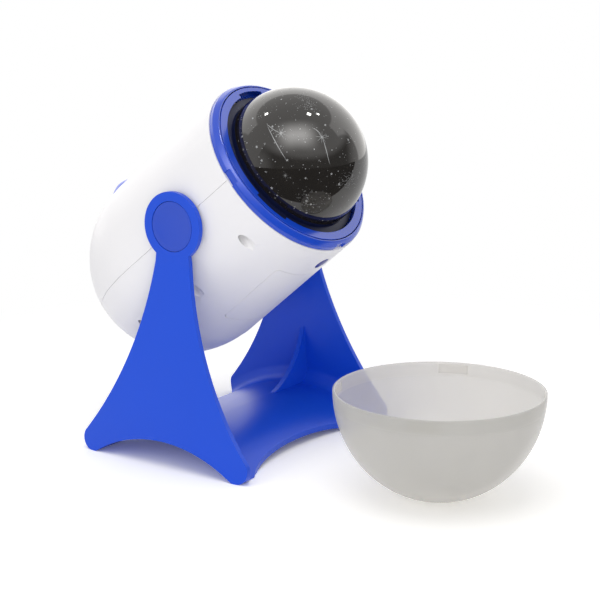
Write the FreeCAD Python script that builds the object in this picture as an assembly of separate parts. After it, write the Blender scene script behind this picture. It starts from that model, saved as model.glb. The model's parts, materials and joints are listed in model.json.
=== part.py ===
"""Star projector: a tilting planetarium head on a one-piece stand, with its frosted cover beside it.

Millimetres. World frame: +Z up, floor at z = 0, the dome points towards -Y and up, and the tilt axis
runs along X. The origin is the middle of the whole set's footprint. The head is modelled in a frame of
its own, with x along the tilt axis, y towards the top of the head and z along its axis to the dome.
"""

import FreeCAD, Part
import math
import os

V = FreeCAD.Vector
X_AXIS = V(1, 0, 0)
Y_AXIS = V(0, 1, 0)
Z_AXIS = V(0, 0, 1)
SIDES = (("left", -1), ("right", 1))

# ---------------------------------------------------------------- driving dimensions
# Stand
PIVOT_HEIGHT = 160.0        # tilt axis above the floor
REST_ELEVATION = 39.0       # the dome's axis above the horizontal
HEAD_RADIUS = 23.0          # round ends of the two legs
LEG_THICKNESS = 3.5
HEAD_SIDE_GAP = 0.2         # between a friction washer and the leg's head
HEAD_SKIN_GAP = 0.655       # between the leg's head and the widest skin beside it
LEG_FLARE = 7.3             # the legs lean outwards below the neck
NECK_HEIGHT = 136.5         # where the lean begins
NECK_HALF_WIDTH = 13.5
WAIST_POINT = (34.8, 66.0)  # half width of the leg and its height, half way down
FOOT_RADIUS = 8.6
FOOT_CENTRE_Y = 61.5
FOOT_WIDTH = 13.0
ARCH_RISE = 17.6
ARCH_HALF_SPAN = 58.5
BASE_THICKNESS = 3.3
BASE_HALF_DEPTH = 49.2      # half depth of the base plate at its middle
SCOOP_SIDE = 2.5            # the hollow in the base plate's edge is widest this far past the foot's inner face
BASE_FILLET = 10.0
RIB_THICKNESS = 3.5
RIB_TOP_Z = 73.0
RIB_INNER_X = 30.0
RIB_WAIST = (62.0, 35.0)

# Head shells
SHELL_FRONT_Z = 53.5
SHELL_FRONT_RADIUS = 65.5
CREASE_Z = -58.0
CREASE_RADIUS = 67.9
CREASE_STEP = 0.3
TAIL_STRETCH = 3.1          # the rounded tail is this much deeper than a half ball
TAIL_DEPTH = CREASE_RADIUS - CREASE_STEP + TAIL_STRETCH
TAIL_FLAT = 0.8             # radius of the flat left on the tail's tip
SHELL_WALL = 2.2
PARTING_GROOVE_WIDTH = 0.35
PARTING_GROOVE_DEPTH = 0.6

# Pivots
PAD_RADIUS = 14.0           # flat pads on the skin, under the friction washers
PAD_DEPTH = 6.0
HUB_RADIUS = 9.0
HUB_LENGTH = 11.0
PIVOT_RADIUS = 6.0
PIVOT_CLEARANCE = 0.05
CAP_RADIUS = 16.5
CAP_THICKNESS = 1.5
CAP_DISH_RADIUS = 14.8
CAP_DISH_DEPTH = 0.8
CAP_RECESS_DEPTH = 2.0
FRICTION_WASHER_THICKNESS = 0.6
FRICTION_WASHER_RADIUS = 13.5
PIVOT_SCREW_RADIUS = 1.5
PIVOT_SCREW_LENGTH = 13.0
PIVOT_SCREW_HEAD_RADIUS = 3.4
PIVOT_SCREW_HEAD_HEIGHT = 2.2
PIVOT_WASHER_RADIUS = 8.5
PIVOT_WASHER_THICKNESS = 1.0

# Dome, turntable and bezel
DOME_RADIUS = 49.5
DOME_WALL = 1.5
DOME_CENTRE_Z = 60.5
DOME_FLANGE_RADIUS = 54.4
DOME_FLANGE_THICKNESS = 1.8
LUG_RADIUS = 57.2
LUG_ANGLE = 21.0
LUG_COUNT = 3
NOTCH_ANGLE = 25.0
BAYONET_TURN = 28.0
BEZEL_RADIUS = 64.9
BEZEL_STRAIGHT = 3.2        # length of the bezel's cylindrical rim
BEZEL_FACE_RADIUS = 61.9
BEZEL_DEPTH = 6.5
BEZEL_EDGE_WIDTH = 0.9      # softened corner between the bevel and the face
BEZEL_EDGE_DROP = 0.5
BEZEL_BORE_RADIUS = 61.3
SPIGOT_RADIUS = 63.0
SPIGOT_DEPTH = 3.0
BEAD_HEIGHT = 0.9
BEAD_WIDTH = 1.2
BEAD_INSET = 0.6            # from the spigot's end
BEZEL_NOTCH_WIDTH = 10.0    # for a fingernail under the cover's rim
BEZEL_NOTCH_DEPTH = 1.2
BEZEL_NOTCH_COUNT = 4
TURNTABLE_RADIUS = 60.7
TURNTABLE_BORE_RADIUS = 55.0
TURNTABLE_NOTCH_RADIUS = 57.6
TURNTABLE_TOP_THICKNESS = 2.6
TURNTABLE_WALL = 2.1
TURNTABLE_FLANGE_RADIUS = 62.6
TURNTABLE_FLANGE_THICKNESS = 1.6
TURNTABLE_LEDGE_HEIGHT = 6.0

# Drive
RING_MODULE = 1.0
RING_TEETH = 112
PINION_TEETH = 14
PINION_FACE = 5.0
WHEEL_MODULE = 0.6
WHEEL_TEETH = 36
MOTOR_PINION_TEETH = 9
WHEEL_FACE = 2.6
DRIVE_ANGLE = 35.0          # from the tilt axis towards the top of the head
GEAR_BACKLASH = 0.12
DRIVE_SHAFT_RADIUS = 1.5
MOTOR_SHAFT_RADIUS = 1.0
MOTOR_SHAFT_DEPTH = 3.0     # how far the rotor's shaft runs into the can
MOTOR_RADIUS = 12.0
MOTOR_LENGTH = 25.0
MOTOR_BOSS_RADIUS = 3.1
MOTOR_BOSS_HEIGHT = 1.6
MOTOR_EDGE_ROUND = 1.0
MOTOR_TAG_X = 7.5
MOTOR_TAG_SIZE = (2.4, 0.8, 5.0)
GEAR_PIN_HEAD_RADIUS = 2.6
GEAR_PIN_HEAD_THICKNESS = 0.6
GEAR_PIN_PLAY = 0.15

# Chassis and lamp
CHASSIS_Z = 43.0            # rear face of the chassis plate
CHASSIS_THICKNESS = 2.0
CHASSIS_RIB_THICKNESS = 1.6
CHASSIS_RIB_HEIGHT = 2.8
CHASSIS_BOSS_GAP = 0.5      # round the motor button's boss
RUNNER_COUNT = 6
RUNNER_WIDTH = 5.0
RUNNER_LENGTH = 6.9
LAMP_POST_RADIUS = 6.0
LAMP_POST_FOOT_RADIUS = 12.0
LAMP_POST_FOOT_THICKNESS = 2.0
LAMP_FIN_COUNT = 3
LAMP_FIN_THICKNESS = 0.8
LAMP_FIN_GAP = 1.6
LAMP_WIRE_HOLE_RADIUS = 2.0
LAMP_BOARD_RADIUS = 8.0
LAMP_BOARD_THICKNESS = 1.2
LED_BASE = 3.5
LED_BASE_HEIGHT = 0.8
LED_LENS_RADIUS = 1.5
LAMP_SCREW_CIRCLE = 9.0
SOLDER_PAD_SIZE = (3.0, 1.6, 0.2)
SOLDER_PAD_X = 3.0
SOLDER_PAD_Y = -4.2

# Shell screws
SCREW_INSET = 11.85         # from the skin at the tilt axis
SCREW_ZS = (33.2, -23.4, -76.0)
COUNTERBORE_RADIUS = 3.6
COUNTERBORE_FLOOR_Y = -12.0
SHELL_BOSS_RADIUS = 5.2
SCREW_SHANK_RADIUS = 1.5
SCREW_HEAD_RADIUS = 3.0
SCREW_HEAD_HEIGHT = 2.0
SCREW_BITE = 9.0            # depth of the pilot hole above the parting face
SCREW_TIP_CLEARANCE = 1.0
SCREW_SLOT_LENGTH = 4.0
SCREW_SLOT_WIDTH = 0.7
SCREW_SLOT_DEPTH = 0.9

# Battery bay
CELL_RADIUS = 7.1
CELL_LENGTH = 49.2
CELL_TIP_RADIUS = 2.6
CELL_TIP_LENGTH = 1.3
CELL_EDGE_ROUND = 0.6
CELL_SPACING = 1.1          # between neighbouring cells
CELL_WALL_GAP = 1.55        # between the cells and the shell
CELL_COUNT = 4
CHANNEL_CLEARANCE = 0.15
DOOR_HALF_WIDTH = 32.5
DOOR_REAR_Z = -32.0
DOOR_FRONT_Z = 26.0
DOOR_GRIP_DEPTH = 1.8
DOOR_CORNER = 3.0
DOOR_GAP = 0.3
BAY_WALL = 2.0
BAY_END_WALL = 3.4
BAY_ROOF = 2.5              # above the outer channels
BAY_SKIN_GAP = 0.15
BAY_LIP = 2.0               # of the side walls, cut back over the door
BAY_RIM = 1.0               # ledge of the bay seen inside the door opening
CONTACT_THICKNESS = 0.5
CONTACT_SIZE = 8.0
SPRING_RADIUS = 3.2
SPRING_WIRE_RADIUS = 0.3
SPRING_TURNS = 2.5

# Power button, on the tail
BUTTON_Z = -75.0
BUTTON_RADIUS = 12.0
BUTTON_HOLE_CLEARANCE = 0.3
BUTTON_RIM_HEIGHT = 1.6
BUTTON_HEIGHT = 8.0
BUTTON_WALL = 1.6
BUTTON_FLANGE_RADIUS = 13.9
BUTTON_FLANGE_THICKNESS = 1.3
BUTTON_FLANGE_DEPTH = 3.95
BUTTON_STEM_RADIUS = 2.2
BUTTON_STEM_DEPTH = 9.4
BUTTON_SPRING_RADIUS = 6.0
BUTTON_SPRING_WIRE = 0.4
BUTTON_SPRING_TURNS = 6
POWER_BOARD_DEPTH = 14.6    # upper face of the switch board below the skin
POWER_BOARD_SIZE = (40.0, 18.0)
POWER_POST_X = 17.0
POWER_POST_RADIUS = 2.2
POWER_SWITCH_SIZE = (7.0, 7.0, 2.4)
BOARD_THICKNESS = 1.6

# Motor button, under the head ahead of the battery door
MOTOR_BUTTON_Z = 36.5
MOTOR_BUTTON_RADIUS = 5.2
MOTOR_BUTTON_CLEARANCE = 0.25
MOTOR_BUTTON_CROWN = 0.9
MOTOR_BUTTON_PROUD = 0.8    # its crown stands this far out of the skin
MOTOR_BUTTON_FLANGE = 6.2
MOTOR_BUTTON_FLANGE_THICKNESS = 1.4
MOTOR_BUTTON_STEM_RADIUS = 1.8
MOTOR_BUTTON_TRAVEL = 1.2
SWITCH_GAP = 0.2            # left under a button that is pressed home
DISH_RADIUS = 10.0
DISH_DEPTH = 2.0
DISH_BOSS_RADIUS = 9.6
DISH_BOSS_DEPTH = 5.2       # inner face of the boss below the skin
MOTOR_BOARD_GAP = 8.4       # from the boss to the switch board
MOTOR_BOARD_SIZE = (20.0, 11.0)
MOTOR_POST_RADIUS = 1.7
MOTOR_SWITCH_SIZE = (6.0, 4.2, 6.0)

# Main circuit board
MAIN_BOARD_SIZE = (58.0, 60.0)
MAIN_BOARD_CENTRE_Z = -18.0
MAIN_BOARD_Y = 28.0         # lower face
MAIN_POST_INSET = 4.0
MAIN_POST_RADIUS = 3.0
BOARD_SCREW_HEAD_RADIUS = 2.6
BOARD_SCREW_HEAD_HEIGHT = 1.8
BOARD_SCREW_SHANK_RADIUS = 1.2
BOARD_SCREW_LENGTH = 8.0
BOARD_SCREW_TIP_CLEARANCE = 0.5
CHIP_SIZE = (10.0, 2.4, 6.0)
DRIVER_SIZE = (7.0, 9.0, 4.0)
DRIVER_PLACE = (13.5, 10.0)
CAPACITORS = ((-15.0, 10.0, 4.0, 11.0), (-15.0, -8.0, 3.0, 8.0))    # x, z, radius, height
SOCKET_SIZE = (8.0, 6.0, 6.0)
SOCKET_SPACING = 12.0
SOCKET_Z = -23.0

# Frosted cover, standing beside the stand
COVER_RADIUS = 66.6
COVER_HEIGHT = 69.8
COVER_WALL = 1.4
COVER_FLAT_DEPTH = 0.6      # how much of the round bottom is flattened
COVER_TAB_COUNT = 4
COVER_TAB_WIDTH = 20.0
COVER_TAB_HEIGHT = 6.0
COVER_TAB_DEPTH = 0.5       # springs over the bezel's rim
COVER_TAB_BELOW_RIM = 1.2
COVER_TAB_ANGLE = 25.0
COVER_X = -29.5
COVER_Y = -178.5

# Clearances
RUNNING_GAP = 0.3           # between parts that move past each other
FIT_GAP = 0.1               # round a screw or a boss in its hole
PAST = 1.0                  # a cut runs this far past the face that it opens
BEYOND = 2 * (CREASE_RADIUS + TAIL_DEPTH)    # longer than the head in every direction


# ---------------------------------------------------------------- helpers
def tube(inner, outer, z0, z1):
    """A ring about the z axis."""
    ring = Part.makeCylinder(outer, z1 - z0, V(0, 0, z0))
    return ring.cut(Part.makeCylinder(inner, z1 - z0 + 2 * PAST, V(0, 0, z0 - PAST)))


def block(x0, x1, y0, y1, z0, z1):
    return Part.makeBox(x1 - x0, y1 - y0, z1 - z0, V(x0, y0, z0))


def rod(radius, start, end):
    along = end - start
    return Part.makeCylinder(radius, along.Length, start, along)


def lathe(outline):
    """Turns a closed outline of (radius, z) points round the z axis."""
    points = [V(r, 0, z) for r, z in outline]
    face = Part.Face(Part.makePolygon(points + points[:1]))
    return face.revolve(V(0, 0, 0), Z_AXIS, 360)


def arc(a, b, c):
    return Part.Arc(a, b, c).toShape()


def line(a, b):
    return Part.makeLine(a, b)


def ellipse_quarter(a, b, centre, start=0.0):
    """Quarter of an ellipse from the end a of one half axis to the end b of the other.

    start, in radians, is how far past a it begins. An ellipse is drawn from the end of its longer half
    axis, so where that is b, the quarter is the last one of the turn.
    """
    if (a - centre).Length >= (b - centre).Length:
        return Part.Ellipse(a, b, centre).toShape(start, math.pi / 2)
    return Part.Ellipse(b, 2 * centre - a, centre).toShape(1.5 * math.pi + start, 2 * math.pi)


def mirrored_x(shape):
    return shape.mirror(V(0, 0, 0), X_AXIS)


def polar(radius, degrees, z=0.0):
    angle = math.radians(degrees)
    return V(radius * math.cos(angle), radius * math.sin(angle), z)


def circular_edges(shape):
    return [edge for edge in shape.Edges if edge.Curve.TypeId == "Part::GeomCircle"]


def coil(radius, wire_radius, height, turns):
    """A round-wire spring standing on z = 0, as half turns that lean one way and then the other."""
    climb = (height - 2 * wire_radius) / (2 * turns)
    lean = math.atan2(climb / 2, radius)
    halves = []
    for k in range(round(2 * turns)):
        side = (-1) ** k
        middle = V(0, 0, wire_radius + (k + 0.5) * climb)
        section = Part.Circle(V(side * radius, 0, middle.z - climb / 2), Y_AXIS, wire_radius)
        face = Part.Face(Part.Wire(section.toShape()))
        halves.append(face.revolve(middle, V(side * math.sin(lean), 0, math.cos(lean)), 180))
    return halves[0].fuse(halves[1:]).removeSplitter()


# ---------------------------------------------------------------- the head's skin
def skin_radius(z, offset=0.0):
    """Radius of the head's outside at a station z, moved inwards by offset."""
    if z >= CREASE_Z:
        slope = (CREASE_RADIUS - SHELL_FRONT_RADIUS) / (SHELL_FRONT_Z - CREASE_Z)
        return SHELL_FRONT_RADIUS + (SHELL_FRONT_Z - z) * slope - offset
    radius = CREASE_RADIUS - CREASE_STEP - offset
    depth = TAIL_DEPTH - offset
    return radius * math.sqrt(1 - ((CREASE_Z - z) / depth) ** 2)


def skin_solid(offset, front_z, half=0):
    """The head's outside as a solid, moved inwards by offset, with its front cut off at front_z.

    half is 1 or -1 for only the half above or below the parting plane.
    """
    radius = CREASE_RADIUS - CREASE_STEP - offset
    depth = TAIL_DEPTH - offset
    centre = V(0, 0, CREASE_Z)
    equator = V(radius, 0, CREASE_Z)
    pole = V(0, 0, CREASE_Z - depth)
    step = V(CREASE_RADIUS - offset, 0, CREASE_Z)
    front = V(skin_radius(front_z, offset), 0, front_z)
    flat = math.asin(TAIL_FLAT / radius)
    tip = V(TAIL_FLAT, 0, CREASE_Z - depth * math.cos(flat))
    outline = Part.Wire([line(V(0, 0, tip.z), V(0, 0, front_z)), line(V(0, 0, front_z), front),
                         line(front, step), line(step, equator), ellipse_quarter(pole, equator, centre, flat),
                         line(tip, V(0, 0, tip.z))])
    return Part.Face(outline).revolve(V(0, 0, 0), Z_AXIS, 180 * half or 360)


PAD_FACE_X = (max(skin_radius(-HEAD_RADIUS), skin_radius(HEAD_RADIUS)) + HEAD_SKIN_GAP
              - FRICTION_WASHER_THICKNESS - HEAD_SIDE_GAP)
HUB_INNER_X = PAD_FACE_X - HUB_LENGTH
SCREW_X = skin_radius(0) - SCREW_INSET
MOTOR_POST_X = MOTOR_BUTTON_FLANGE + RUNNING_GAP + MOTOR_POST_RADIUS


# ---------------------------------------------------------------- stand
HEAD_INNER_X = PAD_FACE_X + FRICTION_WASHER_THICKNESS + HEAD_SIDE_GAP
HEAD_OUTER_X = HEAD_INNER_X + LEG_THICKNESS
ARCH_RADIUS = (ARCH_HALF_SPAN ** 2 + ARCH_RISE ** 2) / (2 * ARCH_RISE)
ARCH_CENTRE_Z = ARCH_RISE - ARCH_RADIUS
FLARE = math.tan(math.radians(LEG_FLARE))
BEND_RADIUS = NECK_HEIGHT - ARCH_CENTRE_Z
FOOT_OUTER_X = HEAD_OUTER_X + (BEND_RADIUS - ARCH_RADIUS) * FLARE


def stand_section():
    """U-shaped section of the stand at y = 0: base plate, two leaning legs and the fillets between."""
    def at(x, radius):
        return V(x, 0, ARCH_CENTRE_Z + radius)

    top = PIVOT_HEIGHT + HEAD_RADIUS + LEG_THICKNESS - ARCH_CENTRE_Z
    base_top = ARCH_RADIUS + BASE_THICKNESS
    inner_x = HEAD_INNER_X
    corner_x = inner_x + (BEND_RADIUS - base_top) * FLARE
    lean = math.atan(FLARE)
    half_turn = (math.pi / 2 - lean) / 2
    tangent = BASE_FILLET / math.tan(half_turn)
    along_leg = (-math.sin(lean), math.cos(lean))
    leg_end = (corner_x + along_leg[0] * tangent, base_top + along_leg[1] * tangent)
    plate_end = (corner_x - tangent, base_top)
    centre = (plate_end[0], base_top + BASE_FILLET)
    to_corner = (corner_x - centre[0], base_top - centre[1])
    reach = math.hypot(*to_corner)
    middle = (centre[0] + to_corner[0] * BASE_FILLET / reach,
              centre[1] + to_corner[1] * BASE_FILLET / reach)
    edges = []
    for side in (1, -1):
        foot = at(side * FOOT_OUTER_X, ARCH_RADIUS)
        bend_outer = at(side * HEAD_OUTER_X, BEND_RADIUS)
        top_outer = at(side * HEAD_OUTER_X, top)
        top_inner = at(side * inner_x, top)
        bend_inner = at(side * inner_x, BEND_RADIUS)
        leg_point = at(side * leg_end[0], leg_end[1])
        plate_point = at(side * plate_end[0], plate_end[1])
        edges += [line(foot, bend_outer), line(bend_outer, top_outer), line(top_outer, top_inner),
                  line(top_inner, bend_inner), line(bend_inner, leg_point),
                  arc(leg_point, at(side * middle[0], middle[1]), plate_point)]
    edges += [line(at(-FOOT_OUTER_X, ARCH_RADIUS), at(FOOT_OUTER_X, ARCH_RADIUS)),
              line(at(-plate_end[0], base_top), at(plate_end[0], base_top))]
    return Part.Face(Part.Wire(Part.__sortEdges__(edges)))


def leg_outline():
    """Side view of a leg: round head, narrow neck, hollow flanks and rounded feet."""
    def at(y, z):
        return V(0, y, z)

    neck_z = PIVOT_HEIGHT - math.sqrt(HEAD_RADIUS ** 2 - NECK_HALF_WIDTH ** 2)
    slope = math.atan2(WAIST_POINT[1] - FOOT_RADIUS, FOOT_CENTRE_Y - WAIST_POINT[0] + FOOT_RADIUS)
    flank = (FOOT_CENTRE_Y + FOOT_RADIUS * math.sin(slope), FOOT_RADIUS * (1 + math.cos(slope)))
    cheek = math.radians(-20)
    foot_side = (FOOT_CENTRE_Y + FOOT_RADIUS * math.cos(cheek), FOOT_RADIUS * (1 + math.sin(cheek)))
    edges = [arc(at(NECK_HALF_WIDTH, neck_z), at(0, PIVOT_HEIGHT + HEAD_RADIUS),
                 at(-NECK_HALF_WIDTH, neck_z))]
    for side in (1, -1):
        edges.append(arc(at(side * NECK_HALF_WIDTH, neck_z), at(side * WAIST_POINT[0], WAIST_POINT[1]),
                         at(side * flank[0], flank[1])))
        edges.append(arc(at(side * flank[0], flank[1]), at(side * foot_side[0], foot_side[1]),
                         at(side * FOOT_CENTRE_Y, 0)))
    edges.append(line(at(FOOT_CENTRE_Y, 0), at(-FOOT_CENTRE_Y, 0)))
    return Part.Face(Part.Wire(Part.__sortEdges__(edges)))


def make_stand():
    swing = 40.0
    section = stand_section()
    hinge = V(0, 0, ARCH_CENTRE_Z)
    section.rotate(hinge, X_AXIS, -swing)
    sheet = section.revolve(hinge, X_AXIS, 2 * swing)
    width = FOOT_OUTER_X + LEG_THICKNESS
    outline = leg_outline()
    outline.translate(V(-width, 0, 0))
    body = sheet.common(outline.extrude(V(2 * width, 0, 0)))

    foot_inner_x = FOOT_OUTER_X - FOOT_WIDTH
    foot_reach = FOOT_CENTRE_Y + FOOT_RADIUS * 0.8
    bite = foot_reach - BASE_HALF_DEPTH
    scoop_x = foot_inner_x + SCOOP_SIDE
    scoop_y = bite / (1 - math.sqrt(1 - (foot_inner_x / scoop_x) ** 2))
    for side in (1, -1):
        rim = Part.Ellipse(V(0, side * (BASE_HALF_DEPTH + scoop_y), -PAST), scoop_x, scoop_y)
        body = body.cut(Part.Face(Part.Wire([rim.toShape()])).extrude(V(0, 0, RIB_TOP_Z)))

    ribs = []
    base_mid_z = ARCH_RISE + BASE_THICKNESS / 2
    def leg_mid_x(z):
        return HEAD_OUTER_X - LEG_THICKNESS / 2 + (NECK_HEIGHT - z) * FLARE
    for side in (1, -1):
        half = RIB_THICKNESS / 2
        tip = V(side * leg_mid_x(RIB_TOP_Z), -half, RIB_TOP_Z)
        toe = V(side * RIB_INNER_X, -half, base_mid_z)
        corner = V(side * leg_mid_x(base_mid_z), -half, base_mid_z)
        waist = V(side * RIB_WAIST[0], -half, RIB_WAIST[1])
        wire = Part.Wire([arc(tip, waist, toe), line(toe, corner), line(corner, tip)])
        ribs.append(Part.Face(wire).extrude(V(0, RIB_THICKNESS, 0)))
    body = body.fuse(ribs)
    for side in (1, -1):
        bore = Part.makeCylinder(PIVOT_RADIUS + PIVOT_CLEARANCE, 2 * LEG_THICKNESS,
                                 V(side * (HEAD_INNER_X - PAST), 0, PIVOT_HEIGHT), V(side, 0, 0))
        recess = Part.makeCylinder(CAP_RADIUS + RUNNING_GAP, LEG_THICKNESS,
                                   V(side * (HEAD_OUTER_X - CAP_RECESS_DEPTH), 0, PIVOT_HEIGHT),
                                   V(side, 0, 0))
        body = body.cut(bore).cut(recess)
    return body.removeSplitter()


# ---------------------------------------------------------------- shells
def button_frame():
    """Point on the skin under the power button, and the skin's outward normal there."""
    radius = skin_radius(BUTTON_Z)
    normal = V(0, radius / (CREASE_RADIUS - CREASE_STEP) ** 2, (BUTTON_Z - CREASE_Z) / TAIL_DEPTH ** 2)
    normal.normalize()
    return V(0, radius, BUTTON_Z), normal


def on_button(shape):
    """Moves a piece from a frame with +z out of the head to the power button's place."""
    point, normal = button_frame()
    shape = shape.copy()
    lean = math.degrees(math.atan2(-normal.z, normal.y))
    shape.rotate(V(0, 0, 0), X_AXIS, -90 - lean)
    shape.translate(point)
    return shape


def under_head(depth):
    """y of a face that lies depth inside the skin, below the motor button."""
    return -(skin_radius(MOTOR_BUTTON_Z) - depth)


def door_prism(margin):
    """The battery door's outline seen from below, grown by margin, as a block through the wall."""
    x = DOOR_HALF_WIDTH + margin
    rear = DOOR_REAR_Z - margin
    front = DOOR_FRONT_Z + margin
    grip = front - DOOR_GRIP_DEPTH
    r = DOOR_CORNER
    k = r * (1 - math.sqrt(0.5))

    def at(px, pz):
        return V(px, -BEYOND, pz)

    edges = [line(at(-x + r, rear), at(x - r, rear)),
             arc(at(x - r, rear), at(x - k, rear + k), at(x, rear + r)),
             line(at(x, rear + r), at(x, front - r)),
             arc(at(x, front - r), at(x - k, front - k), at(x - r, front)),
             arc(at(x - r, front), at(0, grip), at(-x + r, front)),
             arc(at(-x + r, front), at(-x + k, front - k), at(-x, front - r)),
             line(at(-x, front - r), at(-x, rear + r)),
             arc(at(-x, rear + r), at(-x + k, rear + k), at(-x + r, rear))]
    face = Part.Face(Part.Wire(edges))
    return face.extrude(V(0, BEYOND - 0.65 * CREASE_RADIUS, 0))


def shell_half(half):
    """The upper (1) or lower (-1) shell with its hubs, screw bosses and ribs, before it is pierced."""
    cavity = skin_solid(SHELL_WALL, SHELL_FRONT_Z + PAST)
    inside = skin_solid(0.5 * SHELL_WALL, SHELL_FRONT_Z)
    shell = skin_solid(0, SHELL_FRONT_Z, half).cut(skin_solid(SHELL_WALL, SHELL_FRONT_Z + PAST, half))
    additions = []
    for _, side in SIDES:
        pad = Part.makeCylinder(PAD_RADIUS, PAD_DEPTH, V(side * (PAD_FACE_X - PAD_DEPTH), 0, 0),
                                V(side, 0, 0))
        hub = Part.makeCylinder(HUB_RADIUS, PAD_FACE_X - HUB_INNER_X, V(side * HUB_INNER_X, 0, 0),
                                V(side, 0, 0))
        additions += [pad.cut(cavity), hub]
        for z in SCREW_ZS:
            boss = rod(SHELL_BOSS_RADIUS, V(side * SCREW_X, -BEYOND, z), V(side * SCREW_X, BEYOND, z))
            additions.append(boss.common(inside))
    for z0 in (CHASSIS_Z - CHASSIS_RIB_THICKNESS, CHASSIS_Z + CHASSIS_THICKNESS):
        outer = skin_radius(z0, 0.5 * SHELL_WALL)
        inner = skin_radius(z0, SHELL_WALL) - CHASSIS_RIB_HEIGHT
        additions.append(tube(inner, outer, z0, z0 + CHASSIS_RIB_THICKNESS))
    room = block(-BEYOND, BEYOND, min(BEYOND * half, 0), max(BEYOND * half, 0), -BEYOND, BEYOND)
    shell = shell.fuse([piece.common(room) for piece in additions])
    for _, side in SIDES:
        shell = shell.cut(rod(PIVOT_RADIUS + PIVOT_CLEARANCE, V(side * (HUB_INNER_X - PAST), 0, 0),
                              V(side * BEYOND, 0, 0)))
        for z in SCREW_ZS:
            shell = shell.cut(rod(COUNTERBORE_RADIUS, V(side * SCREW_X, -BEYOND, z),
                                  V(side * SCREW_X, COUNTERBORE_FLOOR_Y, z)))
            shell = shell.cut(rod(SCREW_SHANK_RADIUS, V(side * SCREW_X, -BEYOND, z),
                                  V(side * SCREW_X, SCREW_BITE, z)))
    spigot_z = SHELL_FRONT_Z - SPIGOT_DEPTH
    groove = tube(SPIGOT_RADIUS - PAST, SPIGOT_RADIUS + BEAD_HEIGHT + RUNNING_GAP,
                  spigot_z + BEAD_INSET - RUNNING_GAP,
                  spigot_z + BEAD_INSET + BEAD_WIDTH + RUNNING_GAP)
    return shell.cut(groove)


def make_upper_shell():
    upper = shell_half(1)
    posts = []
    for x, z in board_screw_places():
        post = rod(MAIN_POST_RADIUS, V(x, MAIN_BOARD_Y + BOARD_THICKNESS, z), V(x, BEYOND, z))
        pilot = rod(BOARD_SCREW_SHANK_RADIUS, V(x, 0, z), V(x, MAIN_BOARD_Y + BOARD_SCREW_LENGTH, z))
        posts.append(post.cut(pilot))
    for x in (-POWER_POST_X, POWER_POST_X):
        posts.append(on_button(rod(POWER_POST_RADIUS, V(x, 0, -POWER_BOARD_DEPTH), V(x, 0, BUTTON_RADIUS))))
    inside = skin_solid(0.5 * SHELL_WALL, SHELL_FRONT_Z)
    upper = upper.fuse([post.common(inside) for post in posts])
    hole = on_button(rod(BUTTON_RADIUS + BUTTON_HOLE_CLEARANCE, V(0, 0, -POWER_BOARD_DEPTH),
                         V(0, 0, POWER_BOARD_DEPTH)))
    return upper.cut(hole).removeSplitter()


def make_lower_shell():
    lower = shell_half(-1)
    groove = skin_solid(-PAST, SHELL_FRONT_Z + PAST)
    groove = groove.cut(skin_solid(PARTING_GROOVE_DEPTH, SHELL_FRONT_Z + 2 * PAST))
    groove = groove.common(block(-BEYOND, BEYOND, -PARTING_GROOVE_WIDTH, PAST, -BEYOND, BEYOND))
    for _, side in SIDES:
        groove = groove.cut(rod(PAD_RADIUS + PARTING_GROOVE_WIDTH, V(side * HUB_INNER_X, 0, 0),
                                V(side * BEYOND, 0, 0)))
    lower = lower.cut(groove)
    lower = lower.cut(door_prism(DOOR_GAP))
    inside = skin_solid(0.5 * SHELL_WALL, SHELL_FRONT_Z)
    z = MOTOR_BUTTON_Z
    boss_y = under_head(DISH_BOSS_DEPTH)
    boss = rod(DISH_BOSS_RADIUS, V(0, -BEYOND, z), V(0, boss_y, z)).common(inside)
    posts = [rod(MOTOR_POST_RADIUS, V(x, -BEYOND, z), V(x, boss_y + MOTOR_BOARD_GAP, z)).common(inside)
             for x in (-MOTOR_POST_X, MOTOR_POST_X)]
    lower = lower.fuse([boss] + posts)
    ball = (DISH_RADIUS ** 2 + DISH_DEPTH ** 2) / (2 * DISH_DEPTH)
    dish = Part.makeSphere(ball, V(0, under_head(DISH_DEPTH) - ball, z))
    hole = rod(MOTOR_BUTTON_RADIUS + MOTOR_BUTTON_CLEARANCE, V(0, -BEYOND, z), V(0, boss_y + PAST, z))
    return lower.cut(dish).cut(hole).removeSplitter()


def make_shell_screws():
    screws = []
    for _, side in SIDES:
        for z in SCREW_ZS:
            x = side * SCREW_X
            head = rod(SCREW_HEAD_RADIUS, V(x, COUNTERBORE_FLOOR_Y - SCREW_HEAD_HEIGHT, z),
                       V(x, COUNTERBORE_FLOOR_Y, z))
            face_y = COUNTERBORE_FLOOR_Y - SCREW_HEAD_HEIGHT
            long, wide = SCREW_SLOT_LENGTH / 2, SCREW_SLOT_WIDTH / 2
            slot = block(x - long, x + long, face_y - PAST, face_y + SCREW_SLOT_DEPTH, z - wide, z + wide)
            cross = block(x - wide, x + wide, face_y - PAST, face_y + SCREW_SLOT_DEPTH, z - long, z + long)
            shank = rod(SCREW_SHANK_RADIUS - PIVOT_CLEARANCE, V(x, COUNTERBORE_FLOOR_Y, z),
                        V(x, SCREW_BITE - SCREW_TIP_CLEARANCE, z))
            screws.append(head.fuse(shank).cut(slot).cut(cross).removeSplitter())
    return Part.makeCompound(screws)


# ---------------------------------------------------------------- pivots
CAP_OUTER_X = HEAD_OUTER_X - CAP_RECESS_DEPTH + RUNNING_GAP + CAP_THICKNESS


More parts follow.
